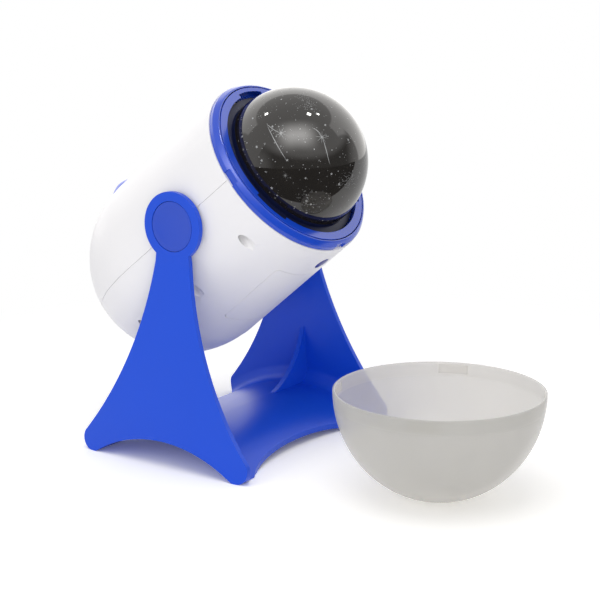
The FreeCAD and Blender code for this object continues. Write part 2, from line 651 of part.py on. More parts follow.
def make_pivot_pin(side):
    cap_inner = CAP_OUTER_X - CAP_THICKNESS
    pin = rod(CAP_RADIUS, V(cap_inner, 0, 0), V(CAP_OUTER_X, 0, 0))
    pin = pin.fuse(rod(PIVOT_RADIUS, V(HUB_INNER_X, 0, 0), V(cap_inner, 0, 0)))
    ball = (CAP_DISH_RADIUS ** 2 + CAP_DISH_DEPTH ** 2) / (2 * CAP_DISH_DEPTH)
    pin = pin.cut(Part.makeSphere(ball, V(CAP_OUTER_X - CAP_DISH_DEPTH + ball, 0, 0)))
    depth = PIVOT_SCREW_LENGTH + SCREW_TIP_CLEARANCE - PIVOT_WASHER_THICKNESS
    pin = pin.cut(rod(PIVOT_SCREW_RADIUS + PIVOT_CLEARANCE, V(HUB_INNER_X - PAST, 0, 0),
                      V(HUB_INNER_X + depth, 0, 0)))
    pin = pin.removeSplitter()
    return pin if side > 0 else mirrored_x(pin)


def make_pivot_screw(side):
    seat = HUB_INNER_X - PIVOT_WASHER_THICKNESS
    head = rod(PIVOT_SCREW_HEAD_RADIUS, V(seat - PIVOT_SCREW_HEAD_HEIGHT, 0, 0), V(seat, 0, 0))
    shank = rod(PIVOT_SCREW_RADIUS, V(seat, 0, 0), V(seat + PIVOT_SCREW_LENGTH, 0, 0))
    face_x = seat - PIVOT_SCREW_HEAD_HEIGHT
    long, wide = SCREW_SLOT_LENGTH / 2, SCREW_SLOT_WIDTH / 2
    slot = block(face_x - PAST, face_x + SCREW_SLOT_DEPTH, -long, long, -wide, wide)
    screw = head.fuse(shank).cut(slot).removeSplitter()
    return screw if side > 0 else mirrored_x(screw)


def make_pivot_washer(side):
    seat = HUB_INNER_X - PIVOT_WASHER_THICKNESS
    washer = rod(PIVOT_WASHER_RADIUS, V(seat, 0, 0), V(HUB_INNER_X, 0, 0))
    washer = washer.cut(rod(PIVOT_SCREW_RADIUS + PIVOT_CLEARANCE, V(seat - PAST, 0, 0),
                            V(HUB_INNER_X + PAST, 0, 0)))
    return washer if side > 0 else mirrored_x(washer)


def make_friction_washer(side):
    washer = rod(FRICTION_WASHER_RADIUS, V(PAD_FACE_X, 0, 0),
                 V(PAD_FACE_X + FRICTION_WASHER_THICKNESS, 0, 0))
    washer = washer.cut(rod(PIVOT_RADIUS + RUNNING_GAP, V(PAD_FACE_X - PAST, 0, 0), V(BEYOND, 0, 0)))
    return washer if side > 0 else mirrored_x(washer)


# ---------------------------------------------------------------- bezel, turntable and dome
BEZEL_FACE_Z = SHELL_FRONT_Z + BEZEL_DEPTH
TURNTABLE_BOTTOM_Z = SHELL_FRONT_Z - SPIGOT_DEPTH - RUNNING_GAP - TURNTABLE_FLANGE_THICKNESS
LEDGE_TOP_Z = TURNTABLE_BOTTOM_Z + TURNTABLE_LEDGE_HEIGHT
LUG_TOP_Z = BEZEL_FACE_Z - TURNTABLE_TOP_THICKNESS - RUNNING_GAP
LUG_BOTTOM_Z = LEDGE_TOP_Z + RUNNING_GAP


def make_bezel():
    rim_z = SHELL_FRONT_Z + BEZEL_STRAIGHT
    spigot_z = SHELL_FRONT_Z - SPIGOT_DEPTH
    bead_z = spigot_z + BEAD_INSET
    bead = SPIGOT_RADIUS + BEAD_HEIGHT
    ring = lathe([(BEZEL_BORE_RADIUS, spigot_z), (SPIGOT_RADIUS, spigot_z), (SPIGOT_RADIUS, bead_z),
                  (bead, bead_z), (bead, bead_z + BEAD_WIDTH), (SPIGOT_RADIUS, bead_z + BEAD_WIDTH),
                  (SPIGOT_RADIUS, SHELL_FRONT_Z), (BEZEL_RADIUS, SHELL_FRONT_Z), (BEZEL_RADIUS, rim_z),
                  (BEZEL_FACE_RADIUS + BEZEL_EDGE_WIDTH, BEZEL_FACE_Z - BEZEL_EDGE_DROP),
                  (BEZEL_FACE_RADIUS, BEZEL_FACE_Z),
                  (BEZEL_BORE_RADIUS, BEZEL_FACE_Z)])
    for k in range(BEZEL_NOTCH_COUNT):
        notch = block(BEZEL_RADIUS - BEZEL_NOTCH_DEPTH, BEZEL_RADIUS + PAST, -BEZEL_NOTCH_WIDTH / 2,
                      BEZEL_NOTCH_WIDTH / 2, SHELL_FRONT_Z, BEZEL_FACE_Z + PAST)
        notch.rotate(V(0, 0, 0), Z_AXIS, 90 + k * 360 / BEZEL_NOTCH_COUNT)
        ring = ring.cut(notch)
    return ring.removeSplitter()


def sector(inner, outer, z0, z1, middle, width):
    """A piece of a ring, width degrees wide about the direction middle."""
    wedge = Part.makeCylinder(outer, z1 - z0, V(0, 0, z0), Z_AXIS, width)
    wedge = wedge.cut(Part.makeCylinder(inner, z1 - z0 + 2 * PAST, V(0, 0, z0 - PAST)))
    wedge.rotate(V(0, 0, 0), Z_AXIS, middle - width / 2)
    return wedge


def gear_face(teeth, module, addendum, dedendum, slack, phase):
    """Toothed outline about the z axis with straight flanks; one tooth points at angle phase."""
    pitch = teeth * module / 2
    flank = math.tan(math.radians(20))
    points = []
    for k in range(teeth):
        middle = math.radians(phase) + 2 * math.pi * k / teeth
        half = math.pi / (2 * teeth) - slack / (2 * pitch)
        at_root = half + dedendum * flank / pitch
        at_tip = half - addendum * flank / pitch
        for radius, angle in ((pitch - dedendum, -at_root), (pitch + addendum, -at_tip),
                              (pitch + addendum, at_tip), (pitch - dedendum, at_root)):
            points.append(V(radius * math.cos(middle + angle), radius * math.sin(middle + angle), 0))
    return Part.Face(Part.makePolygon(points + points[:1]))


def make_turntable():
    bottom = TURNTABLE_BOTTOM_Z
    top = BEZEL_FACE_Z
    inner_wall = TURNTABLE_RADIUS - TURNTABLE_WALL
    pitch = RING_TEETH * RING_MODULE / 2
    ring = tube(inner_wall, TURNTABLE_RADIUS, bottom, top)
    ring = ring.fuse([tube(TURNTABLE_RADIUS - PAST, TURNTABLE_FLANGE_RADIUS, bottom,
                           bottom + TURNTABLE_FLANGE_THICKNESS),
                      tube(TURNTABLE_BORE_RADIUS, inner_wall + PAST, top - TURNTABLE_TOP_THICKNESS, top),
                      tube(pitch - RING_MODULE, inner_wall + PAST, bottom, LEDGE_TOP_Z)])
    teeth = gear_face(RING_TEETH, RING_MODULE, 1.2 * RING_MODULE, 1.1 * RING_MODULE, -GEAR_BACKLASH,
                      DRIVE_ANGLE)
    teeth.translate(V(0, 0, bottom - PAST))
    ring = ring.cut(teeth.extrude(V(0, 0, TURNTABLE_LEDGE_HEIGHT + PAST + FIT_GAP)))
    for k in range(LUG_COUNT):
        ring = ring.cut(sector(TURNTABLE_BORE_RADIUS - PAST, TURNTABLE_NOTCH_RADIUS,
                               top - TURNTABLE_TOP_THICKNESS - FIT_GAP, top + PAST,
                               lug_middle(k) - BAYONET_TURN, NOTCH_ANGLE))
    return ring.removeSplitter()


def lug_middle(k):
    """Direction of lug k at rest, when the dome is locked, clear of the turntable's notches."""
    return 90.0 + BAYONET_TURN + k * 360 / LUG_COUNT


def make_dome():
    flange_z = LUG_TOP_Z - DOME_FLANGE_THICKNESS
    outer = Part.makeSphere(DOME_RADIUS, V(0, 0, DOME_CENTRE_Z))
    inner = Part.makeSphere(DOME_RADIUS - DOME_WALL, V(0, 0, DOME_CENTRE_Z))
    above = block(-BEYOND, BEYOND, -BEYOND, BEYOND, DOME_CENTRE_Z, BEYOND)
    cap = outer.cut(inner).common(above)
    skirt = tube(DOME_RADIUS - DOME_WALL, DOME_RADIUS, flange_z, DOME_CENTRE_Z)
    flange = tube(DOME_RADIUS - DOME_WALL, DOME_FLANGE_RADIUS, flange_z, LUG_TOP_Z)
    lugs = [sector(DOME_FLANGE_RADIUS - PAST, LUG_RADIUS, LUG_BOTTOM_Z, LUG_TOP_Z, lug_middle(k), LUG_ANGLE)
            for k in range(LUG_COUNT)]
    return cap.fuse([skirt, flange] + lugs).removeSplitter()


# ---------------------------------------------------------------- drive
PINION_DISTANCE = (RING_TEETH - PINION_TEETH) * RING_MODULE / 2
WHEEL_DISTANCE = (WHEEL_TEETH + MOTOR_PINION_TEETH) * WHEEL_MODULE / 2
CHASSIS_TOP_Z = CHASSIS_Z + CHASSIS_THICKNESS
WHEEL_Z = CHASSIS_TOP_Z + RUNNING_GAP
PINION_Z = TURNTABLE_BOTTOM_Z + RUNNING_GAP


def drive_place(distance):
    return polar(distance, DRIVE_ANGLE)


def make_drive_shaft():
    """Wheel and ring pinion moulded together, with the steel pin that carries them cut out."""
    wheel = gear_face(WHEEL_TEETH, WHEEL_MODULE, WHEEL_MODULE, 1.2 * WHEEL_MODULE, GEAR_BACKLASH,
                      DRIVE_ANGLE + 180)
    wheel = wheel.extrude(V(0, 0, WHEEL_FACE))
    wheel.translate(V(0, 0, WHEEL_Z))
    pinion = gear_face(PINION_TEETH, RING_MODULE, RING_MODULE, 1.1 * RING_MODULE, GEAR_BACKLASH,
                       DRIVE_ANGLE)
    pinion = pinion.extrude(V(0, 0, PINION_FACE))
    pinion.translate(V(0, 0, PINION_Z))
    neck = rod(PINION_TEETH * RING_MODULE / 2 - 1.5 * RING_MODULE, V(0, 0, WHEEL_Z + 0.5 * WHEEL_FACE),
               V(0, 0, PINION_Z + 0.5 * PINION_FACE))
    gear = wheel.fuse([pinion, neck])
    gear = gear.cut(Part.makeCylinder(DRIVE_SHAFT_RADIUS + PIVOT_CLEARANCE, BEYOND))
    gear = gear.removeSplitter()
    gear.translate(drive_place(PINION_DISTANCE))
    return gear


def make_gear_pin():
    """Steel pin pressed into the chassis plate, with a flat head that keeps the gear on."""
    head_z = PINION_Z + PINION_FACE + GEAR_PIN_PLAY
    pin = Part.makeCylinder(DRIVE_SHAFT_RADIUS, head_z - CHASSIS_Z, V(0, 0, CHASSIS_Z))
    head = Part.makeCylinder(GEAR_PIN_HEAD_RADIUS, GEAR_PIN_HEAD_THICKNESS, V(0, 0, head_z))
    pin = pin.fuse(head).removeSplitter()
    pin.translate(drive_place(PINION_DISTANCE))
    return pin


def make_motor_pinion():
    phase = DRIVE_ANGLE + 180 / MOTOR_PINION_TEETH
    gear = gear_face(MOTOR_PINION_TEETH, WHEEL_MODULE, 0.9 * WHEEL_MODULE, 1.15 * WHEEL_MODULE,
                     GEAR_BACKLASH, phase)
    gear = gear.extrude(V(0, 0, WHEEL_FACE))
    gear.translate(V(0, 0, WHEEL_Z))
    shaft_z = CHASSIS_Z - MOTOR_SHAFT_DEPTH
    shaft = Part.makeCylinder(MOTOR_SHAFT_RADIUS, WHEEL_Z + WHEEL_FACE - shaft_z, V(0, 0, shaft_z))
    gear = gear.fuse(shaft).removeSplitter()
    gear.translate(drive_place(PINION_DISTANCE - WHEEL_DISTANCE))
    return gear


def make_motor():
    tail_z = CHASSIS_Z - MOTOR_LENGTH
    can = Part.makeCylinder(MOTOR_RADIUS, MOTOR_LENGTH, V(0, 0, tail_z))
    can = can.makeFillet(MOTOR_EDGE_ROUND, circular_edges(can))
    boss = Part.makeCylinder(MOTOR_BOSS_RADIUS, MOTOR_BOSS_HEIGHT, V(0, 0, CHASSIS_Z))
    tag_w, tag_t, tag_l = MOTOR_TAG_SIZE
    tags = [block(x - tag_w / 2, x + tag_w / 2, -tag_t / 2, tag_t / 2, tail_z - tag_l, tail_z + PAST)
            for x in (-MOTOR_TAG_X, MOTOR_TAG_X)]
    motor = can.fuse([boss] + tags)
    bore_z = CHASSIS_Z - MOTOR_SHAFT_DEPTH - RUNNING_GAP
    motor = motor.cut(Part.makeCylinder(MOTOR_SHAFT_RADIUS + PIVOT_CLEARANCE, BEYOND, V(0, 0, bore_z)))
    motor = motor.removeSplitter()
    motor.translate(drive_place(PINION_DISTANCE - WHEEL_DISTANCE))
    return motor


# ---------------------------------------------------------------- chassis and lamp
def lamp_screw_places():
    return [polar(LAMP_SCREW_CIRCLE, angle, 0) for angle in (-30, 90, 210)]


def make_chassis():
    """Plate across the front of the head: it carries the lamp, the motor and the turntable's runners."""
    def hole(radius, place=V(0, 0, 0)):
        return rod(radius, place + V(0, 0, CHASSIS_Z - PAST), place + V(0, 0, CHASSIS_TOP_Z + PAST))

    radius = skin_radius(CHASSIS_TOP_Z, SHELL_WALL) - RUNNING_GAP
    plate = Part.makeCylinder(radius, CHASSIS_THICKNESS, V(0, 0, CHASSIS_Z))
    runner_end = skin_radius(CHASSIS_TOP_Z, SHELL_WALL) - CHASSIS_RIB_HEIGHT - RUNNING_GAP
    runners = []
    for k in range(RUNNER_COUNT):
        runner = block(runner_end - RUNNER_LENGTH, runner_end, -RUNNER_WIDTH / 2, RUNNER_WIDTH / 2,
                       CHASSIS_Z + 0.5 * CHASSIS_THICKNESS, TURNTABLE_BOTTOM_Z - RUNNING_GAP)
        runner.rotate(V(0, 0, 0), Z_AXIS, DRIVE_ANGLE + (k + 0.5) * 360 / RUNNER_COUNT)
        runners.append(runner)
    plate = plate.fuse(runners)
    plate = plate.cut(rod(DISH_BOSS_RADIUS + CHASSIS_BOSS_GAP, V(0, -BEYOND, MOTOR_BUTTON_Z),
                          V(0, under_head(DISH_BOSS_DEPTH) + CHASSIS_BOSS_GAP, MOTOR_BUTTON_Z)))
    holes = [hole(MOTOR_BOSS_RADIUS + FIT_GAP, drive_place(PINION_DISTANCE - WHEEL_DISTANCE)),
             hole(DRIVE_SHAFT_RADIUS, drive_place(PINION_DISTANCE)), hole(LAMP_WIRE_HOLE_RADIUS)]
    holes += [hole(BOARD_SCREW_SHANK_RADIUS, place) for place in lamp_screw_places()]
    return plate.cut(holes).removeSplitter()


LAMP_BOARD_Z = DOME_CENTRE_Z - LED_BASE_HEIGHT - LAMP_BOARD_THICKNESS


def make_lamp_post():
    """Aluminium post that holds the lamp at the dome's centre and draws off its heat."""
    foot_top = CHASSIS_TOP_Z + LAMP_POST_FOOT_THICKNESS
    post = Part.makeCylinder(LAMP_POST_RADIUS, LAMP_BOARD_Z - CHASSIS_TOP_Z, V(0, 0, CHASSIS_TOP_Z))
    foot = Part.makeCylinder(LAMP_POST_FOOT_RADIUS, LAMP_POST_FOOT_THICKNESS, V(0, 0, CHASSIS_TOP_Z))
    fin_pitch = LAMP_FIN_GAP + LAMP_FIN_THICKNESS
    fins = [Part.makeCylinder(LAMP_BOARD_RADIUS, LAMP_FIN_THICKNESS,
                              V(0, 0, foot_top + LAMP_FIN_GAP + k * fin_pitch))
            for k in range(LAMP_FIN_COUNT)]
    post = post.fuse([foot] + fins)
    for place in lamp_screw_places():
        post = post.cut(Part.makeCylinder(BOARD_SCREW_SHANK_RADIUS + FIT_GAP, foot_top + PAST - CHASSIS_Z,
                                          place + V(0, 0, CHASSIS_Z)))
        post = post.cut(Part.makeCylinder(BOARD_SCREW_HEAD_RADIUS + 2 * FIT_GAP, BEYOND,
                                          place + V(0, 0, foot_top)))
    return post.cut(Part.makeCylinder(LAMP_WIRE_HOLE_RADIUS, BEYOND)).removeSplitter()


def make_lamp_screws():
    foot_top = CHASSIS_TOP_Z + LAMP_POST_FOOT_THICKNESS
    screws = []
    for place in lamp_screw_places():
        head = Part.makeCylinder(BOARD_SCREW_HEAD_RADIUS, BOARD_SCREW_HEAD_HEIGHT, place + V(0, 0, foot_top))
        shank = Part.makeCylinder(BOARD_SCREW_SHANK_RADIUS - PIVOT_CLEARANCE, foot_top - CHASSIS_Z,
                                  place + V(0, 0, CHASSIS_Z))
        screws.append(head.fuse(shank).removeSplitter())
    return Part.makeCompound(screws)


def make_lamp_board():
    board = Part.makeCylinder(LAMP_BOARD_RADIUS, LAMP_BOARD_THICKNESS, V(0, 0, LAMP_BOARD_Z))
    w, d, h = SOLDER_PAD_SIZE
    pads = [block(x - w / 2, x + w / 2, SOLDER_PAD_Y - d / 2, SOLDER_PAD_Y + d / 2, LAMP_BOARD_Z,
                  LAMP_BOARD_Z + LAMP_BOARD_THICKNESS + h) for x in (-SOLDER_PAD_X, SOLDER_PAD_X)]
    return board.fuse(pads).removeSplitter()


def make_led():
    base_z = LAMP_BOARD_Z + LAMP_BOARD_THICKNESS
    half = LED_BASE / 2
    base = block(-half, half, -half, half, base_z, base_z + LED_BASE_HEIGHT)
    lens = Part.makeSphere(LED_LENS_RADIUS, V(0, 0, base_z + LED_BASE_HEIGHT))
    lens = lens.common(block(-LED_BASE, LED_BASE, -LED_BASE, LED_BASE, base_z, BEYOND))
    return base.fuse(lens).removeSplitter()


# ---------------------------------------------------------------- batteries
BAY_REAR_Z = DOOR_REAR_Z + BAY_RIM
BAY_FRONT_Z = DOOR_FRONT_Z - DOOR_GRIP_DEPTH - BAY_RIM
SPRING_LENGTH = BAY_FRONT_Z - BAY_REAR_Z - 2 * CONTACT_THICKNESS - CELL_LENGTH - CELL_TIP_LENGTH
CHANNEL_RADIUS = CELL_RADIUS + CHANNEL_CLEARANCE
CELL_PITCH = 2 * CELL_RADIUS + CELL_SPACING
CELL_CIRCLE = (min(skin_radius(BAY_REAR_Z, SHELL_WALL), skin_radius(BAY_FRONT_Z, SHELL_WALL))
               - CELL_WALL_GAP - CELL_RADIUS)


def cell_places():
    """The cells lie side by side round the head's axis, under the door."""
    places = []
    for k in range(CELL_COUNT):
        x = (k - (CELL_COUNT - 1) / 2) * CELL_PITCH
        places.append((x, -math.sqrt(CELL_CIRCLE ** 2 - x ** 2)))
    return places


def make_battery_bay():
    half_x = DOOR_HALF_WIDTH + BAY_WALL
    top_y = max(y for _, y in cell_places()) + CHANNEL_RADIUS + BAY_ROOF
    front_z = min(BAY_FRONT_Z + BAY_END_WALL, MOTOR_BUTTON_Z - DISH_BOSS_RADIUS - RUNNING_GAP)
    bay = block(-half_x, half_x, -BEYOND, top_y, BAY_REAR_Z - BAY_END_WALL, front_z)
    bay = bay.common(skin_solid(SHELL_WALL + BAY_SKIN_GAP, SHELL_FRONT_Z))
    for x, y in cell_places():
        bay = bay.cut(Part.makeCylinder(CHANNEL_RADIUS, BAY_FRONT_Z - BAY_REAR_Z, V(x, y, BAY_REAR_Z)))
        bay = bay.cut(block(x - CHANNEL_RADIUS, x + CHANNEL_RADIUS, -BEYOND, y, BAY_REAR_Z, BAY_FRONT_Z))
    lip = skin_solid(0, SHELL_FRONT_Z).cut(skin_solid(SHELL_WALL + BAY_LIP, SHELL_FRONT_Z))
    inner_x = max(x for x, _ in cell_places()) + CHANNEL_RADIUS
    return bay.cut(lip.common(block(-inner_x, inner_x, -BEYOND, 0, BAY_REAR_Z, BAY_FRONT_Z))).removeSplitter()


def in_bay(shape, k):
    """Puts a piece drawn along the z axis into channel k; every second channel is turned end for end."""
    shape = shape.copy()
    if k % 2:
        shape.rotate(V(0, 0, (BAY_REAR_Z + BAY_FRONT_Z) / 2), X_AXIS, 180)
    x, y = cell_places()[k]
    shape.translate(V(x, y, 0))
    return shape


def make_battery(k):
    foot = BAY_REAR_Z + CONTACT_THICKNESS + SPRING_LENGTH
    can = Part.makeCylinder(CELL_RADIUS, CELL_LENGTH, V(0, 0, foot))
    can = can.makeFillet(CELL_EDGE_ROUND, circular_edges(can))
    tip = Part.makeCylinder(CELL_TIP_RADIUS, CELL_TIP_LENGTH + PAST, V(0, 0, foot + CELL_LENGTH - PAST))
    return in_bay(can.fuse(tip).removeSplitter(), k)


def make_contacts():
    """Nickel-plated plates on the bay's end walls, one at each end of every cell."""
    half = CONTACT_SIZE / 2
    plates = []
    for k in range(CELL_COUNT):
        for z in (BAY_REAR_Z, BAY_FRONT_Z - CONTACT_THICKNESS):
            plates.append(in_bay(block(-half, half, -half, half, z, z + CONTACT_THICKNESS), k))
    return Part.makeCompound(plates)


def make_contact_springs():
    """Springs that press on the flat ends of the cells."""
    spring = coil(SPRING_RADIUS, SPRING_WIRE_RADIUS, SPRING_LENGTH, SPRING_TURNS)
    spring.translate(V(0, 0, BAY_REAR_Z + CONTACT_THICKNESS))
    return Part.makeCompound([in_bay(spring, k) for k in range(CELL_COUNT)])


def make_battery_door():
    panel = skin_solid(0, SHELL_FRONT_Z).cut(skin_solid(SHELL_WALL, SHELL_FRONT_Z + PAST))
    return panel.common(door_prism(0)).removeSplitter()


# ---------------------------------------------------------------- buttons and boards
BUTTON_CROWN = BUTTON_HEIGHT - BUTTON_RIM_HEIGHT
BUTTON_BALL = (BUTTON_RADIUS ** 2 + BUTTON_CROWN ** 2) / (2 * BUTTON_CROWN)
BUTTON_BALL_Z = BUTTON_HEIGHT - BUTTON_BALL


def make_power_button():
    dome = Part.makeSphere(BUTTON_BALL, V(0, 0, BUTTON_BALL_Z))
    dome = dome.common(Part.makeCylinder(BUTTON_RADIUS, BEYOND))
    flange_z = -BUTTON_FLANGE_DEPTH - BUTTON_FLANGE_THICKNESS
    wall = Part.makeCylinder(BUTTON_RADIUS, BUTTON_RIM_HEIGHT - flange_z, V(0, 0, flange_z))
    flange = Part.makeCylinder(BUTTON_FLANGE_RADIUS, BUTTON_FLANGE_THICKNESS, V(0, 0, flange_z))
    inner_radius = BUTTON_RADIUS - BUTTON_WALL
    hollow = Part.makeSphere(BUTTON_BALL - BUTTON_WALL, V(0, 0, BUTTON_BALL_Z))
    hollow = hollow.common(Part.makeCylinder(inner_radius, BUTTON_HEIGHT))
    hollow = hollow.fuse(rod(inner_radius, V(0, 0, flange_z - PAST), V(0, 0, 0)))
    stem = Part.makeCylinder(BUTTON_STEM_RADIUS, BUTTON_STEM_DEPTH + BUTTON_HEIGHT - 0.5 * BUTTON_WALL,
                             V(0, 0, -BUTTON_STEM_DEPTH))
    return on_button(dome.fuse([wall, flange]).cut(hollow).fuse(stem).removeSplitter())


def make_power_spring():
    """Stands on the switch board and ends just under the button's inner crown."""
    reach = BUTTON_SPRING_RADIUS + BUTTON_SPRING_WIRE
    top = BUTTON_BALL_Z + math.sqrt((BUTTON_BALL - BUTTON_WALL) ** 2 - reach ** 2) - PIVOT_CLEARANCE
    spring = coil(BUTTON_SPRING_RADIUS, BUTTON_SPRING_WIRE, top + POWER_BOARD_DEPTH, BUTTON_SPRING_TURNS)
    spring.translate(V(0, 0, -POWER_BOARD_DEPTH))
    return on_button(spring)


def make_power_board():
    w, d = POWER_BOARD_SIZE
    z = -POWER_BOARD_DEPTH
    return on_button(block(-w / 2, w / 2, -d / 2, d / 2, z - BOARD_THICKNESS, z))


def make_power_switch():
    w, d, h = POWER_SWITCH_SIZE
    z = -POWER_BOARD_DEPTH
    return on_button(block(-w / 2, w / 2, -d / 2, d / 2, z, z + h))


def make_motor_button():
    z = MOTOR_BUTTON_Z
    face_y = under_head(-MOTOR_BUTTON_PROUD)
    boss_y = under_head(DISH_BOSS_DEPTH)
    flange_y = boss_y + RUNNING_GAP
    ball = (MOTOR_BUTTON_RADIUS ** 2 + MOTOR_BUTTON_CROWN ** 2) / (2 * MOTOR_BUTTON_CROWN)
    flange_top = flange_y + MOTOR_BUTTON_FLANGE_THICKNESS
    half_turn = math.asin(MOTOR_BUTTON_RADIUS / ball) / 2
    top, edge = V(0, face_y, z), V(MOTOR_BUTTON_RADIUS, face_y + MOTOR_BUTTON_CROWN, z)
    shoulder = V(ball * math.sin(half_turn), face_y + ball * (1 - math.cos(half_turn)), z)
    side_end, middle_end = V(MOTOR_BUTTON_RADIUS, flange_top, z), V(0, flange_top, z)
    outline = Part.Wire([arc(top, shoulder, edge), line(edge, side_end), line(side_end, middle_end),
                         line(middle_end, top)])
    barrel = Part.Face(outline).revolve(V(0, 0, z), V(0, 1, 0), 360)
    flange = rod(MOTOR_BUTTON_FLANGE, V(0, flange_y, z), V(0, flange_top, z))
    switch_y = boss_y + MOTOR_BOARD_GAP - MOTOR_SWITCH_SIZE[1]
    stem = rod(MOTOR_BUTTON_STEM_RADIUS, V(0, flange_y, z),
               V(0, switch_y - MOTOR_BUTTON_TRAVEL - SWITCH_GAP, z))
    return barrel.fuse([flange, stem]).removeSplitter()


def make_motor_switch_board():
    y = under_head(DISH_BOSS_DEPTH) + MOTOR_BOARD_GAP
    w, d = MOTOR_BOARD_SIZE
    z = MOTOR_BUTTON_Z
    return block(-w / 2, w / 2, y, y + BOARD_THICKNESS, z - d / 2, z + d / 2)


def make_motor_switch():
    y = under_head(DISH_BOSS_DEPTH) + MOTOR_BOARD_GAP
    w, h, d = MOTOR_SWITCH_SIZE
    z = MOTOR_BUTTON_Z
    return block(-w / 2, w / 2, y - h, y, z - d / 2, z + d / 2)


def board_screw_places():
    half_x = MAIN_BOARD_SIZE[0] / 2 - MAIN_POST_INSET
    half_z = MAIN_BOARD_SIZE[1] / 2 - MAIN_POST_INSET
    return [(x, MAIN_BOARD_CENTRE_Z + dz) for x in (-half_x, half_x) for dz in (-half_z, half_z)]


def make_main_board():
    w, d = MAIN_BOARD_SIZE
    board = block(-w / 2, w / 2, MAIN_BOARD_Y, MAIN_BOARD_Y + BOARD_THICKNESS,
                  MAIN_BOARD_CENTRE_Z - d / 2, MAIN_BOARD_CENTRE_Z + d / 2)
    for x, z in board_screw_places():
        board = board.cut(rod(BOARD_SCREW_SHANK_RADIUS + FIT_GAP, V(x, 0, z), V(x, BEYOND, z)))
    return board


def make_board_parts():
    """Timer chip, driver transistor, capacitors and plug sockets on the board's lower face."""
    def box(size, x, z):
        w, h, d = size
        z += MAIN_BOARD_CENTRE_Z
        return block(x - w / 2, x + w / 2, MAIN_BOARD_Y - h, MAIN_BOARD_Y, z - d / 2, z + d / 2)

    parts = [box(CHIP_SIZE, 0, 0), box(DRIVER_SIZE, *DRIVER_PLACE)]
    parts += [box(SOCKET_SIZE, k * SOCKET_SPACING, SOCKET_Z) for k in (-1, 0, 1)]
    for x, z, radius, height in CAPACITORS:
        z += MAIN_BOARD_CENTRE_Z
        parts.append(rod(radius, V(x, MAIN_BOARD_Y - height, z), V(x, MAIN_BOARD_Y, z)))
    return Part.makeCompound(parts)


def make_board_screws():
    screws = []
    for x, z in board_screw_places():
        head = rod(BOARD_SCREW_HEAD_RADIUS, V(x, MAIN_BOARD_Y - BOARD_SCREW_HEAD_HEIGHT, z),
                   V(x, MAIN_BOARD_Y, z))
        shank = rod(BOARD_SCREW_SHANK_RADIUS - PIVOT_CLEARANCE, V(x, MAIN_BOARD_Y, z),
                    V(x, MAIN_BOARD_Y + BOARD_SCREW_LENGTH - BOARD_SCREW_TIP_CLEARANCE, z))
        screws.append(head.fuse(shank).removeSplitter())
    return Part.makeCompound(screws)


# ---------------------------------------------------------------- frosted cover
def bowl_solid(offset):
    """The cover's outside, moved inwards by offset, mouth up, its lowest point at -COVER_FLAT_DEPTH."""
    rim = COVER_HEIGHT
    radius = COVER_RADIUS - offset
    depth = COVER_HEIGHT + COVER_FLAT_DEPTH - offset
    centre = V(0, 0, rim)
    pole = V(0, 0, rim - depth)
    edge = V(radius, 0, rim)
    outline = Part.Wire([line(centre, edge), ellipse_quarter(pole, edge, centre), line(pole, centre)])
    return Part.Face(outline).revolve(V(0, 0, 0), Z_AXIS, 360)


def make_cover():
    above_floor = block(-COVER_RADIUS, COVER_RADIUS, -COVER_RADIUS, COVER_RADIUS, 0, COVER_HEIGHT)
    bowl = bowl_solid(0).common(above_floor).cut(bowl_solid(COVER_WALL))
    top = COVER_HEIGHT - COVER_TAB_BELOW_RIM
    inner = COVER_RADIUS - COVER_WALL
    width = math.degrees(COVER_TAB_WIDTH / COVER_RADIUS)
    tabs = [sector(inner - COVER_TAB_DEPTH, inner + 0.5 * COVER_WALL, top - COVER_TAB_HEIGHT, top,
                   COVER_TAB_ANGLE + k * 360 / COVER_TAB_COUNT, width) for k in range(COVER_TAB_COUNT)]
    return bowl.fuse(tabs).removeSplitter()


# ---------------------------------------------------------------- placing and writing
def head_reach_back():
    """How far the rounded tail reaches behind the tilt axis, at the rest elevation."""
    lean = math.radians(REST_ELEVATION)
    radius = CREASE_RADIUS - CREASE_STEP
    centre = -CREASE_Z * math.cos(lean)
    return centre + math.hypot(TAIL_DEPTH * math.cos(lean), radius * math.sin(lean))


LOW_X = COVER_X - COVER_RADIUS
HIGH_X = FOOT_OUTER_X
LOW_Y = COVER_Y - COVER_RADIUS
HIGH_Y = head_reach_back()
SHIFT = V(-(LOW_X + HIGH_X) / 2, -(LOW_Y + HIGH_Y) / 2, 0)


def save(node, shape):
    shape = shape.copy()
    shape.translate(SHIFT)
    shape.exportStep("parts/" + node + ".step")


def save_head(node, shape):
    """Writes a piece of the head, tilted to its rest elevation on the pivots."""
    shape = shape.copy()
    shape.rotate(V(0, 0, 0), X_AXIS, 90 - REST_ELEVATION)
    shape.translate(V(0, 0, PIVOT_HEIGHT))
    save(node, shape)


os.makedirs("parts", exist_ok=True)
save("stand", make_stand())

save_head("upper_shell", make_upper_shell())
save_head("lower_shell", make_lower_shell())
save_head("shell_screws", make_shell_screws())
for name, side in SIDES:
    save_head("pivot_pin_" + name, make_pivot_pin(side))
    save_head("pivot_screw_" + name, make_pivot_screw(side))
    save_head("pivot_washer_" + name, make_pivot_washer(side))
    save_head("friction_washer_" + name, make_friction_washer(side))

save_head("bezel_ring", make_bezel())
save_head("turntable", make_turntable())
save_head("star_dome", make_dome())
save_head("drive_gear", make_drive_shaft())
save_head("drive_gear_pin", make_gear_pin())
save_head("motor_pinion", make_motor_pinion())
save_head("drive_motor", make_motor())
save_head("chassis_plate", make_chassis())
save_head("lamp_post", make_lamp_post())
save_head("lamp_screws", make_lamp_screws())
save_head("lamp_board", make_lamp_board())
save_head("lamp_led", make_led())

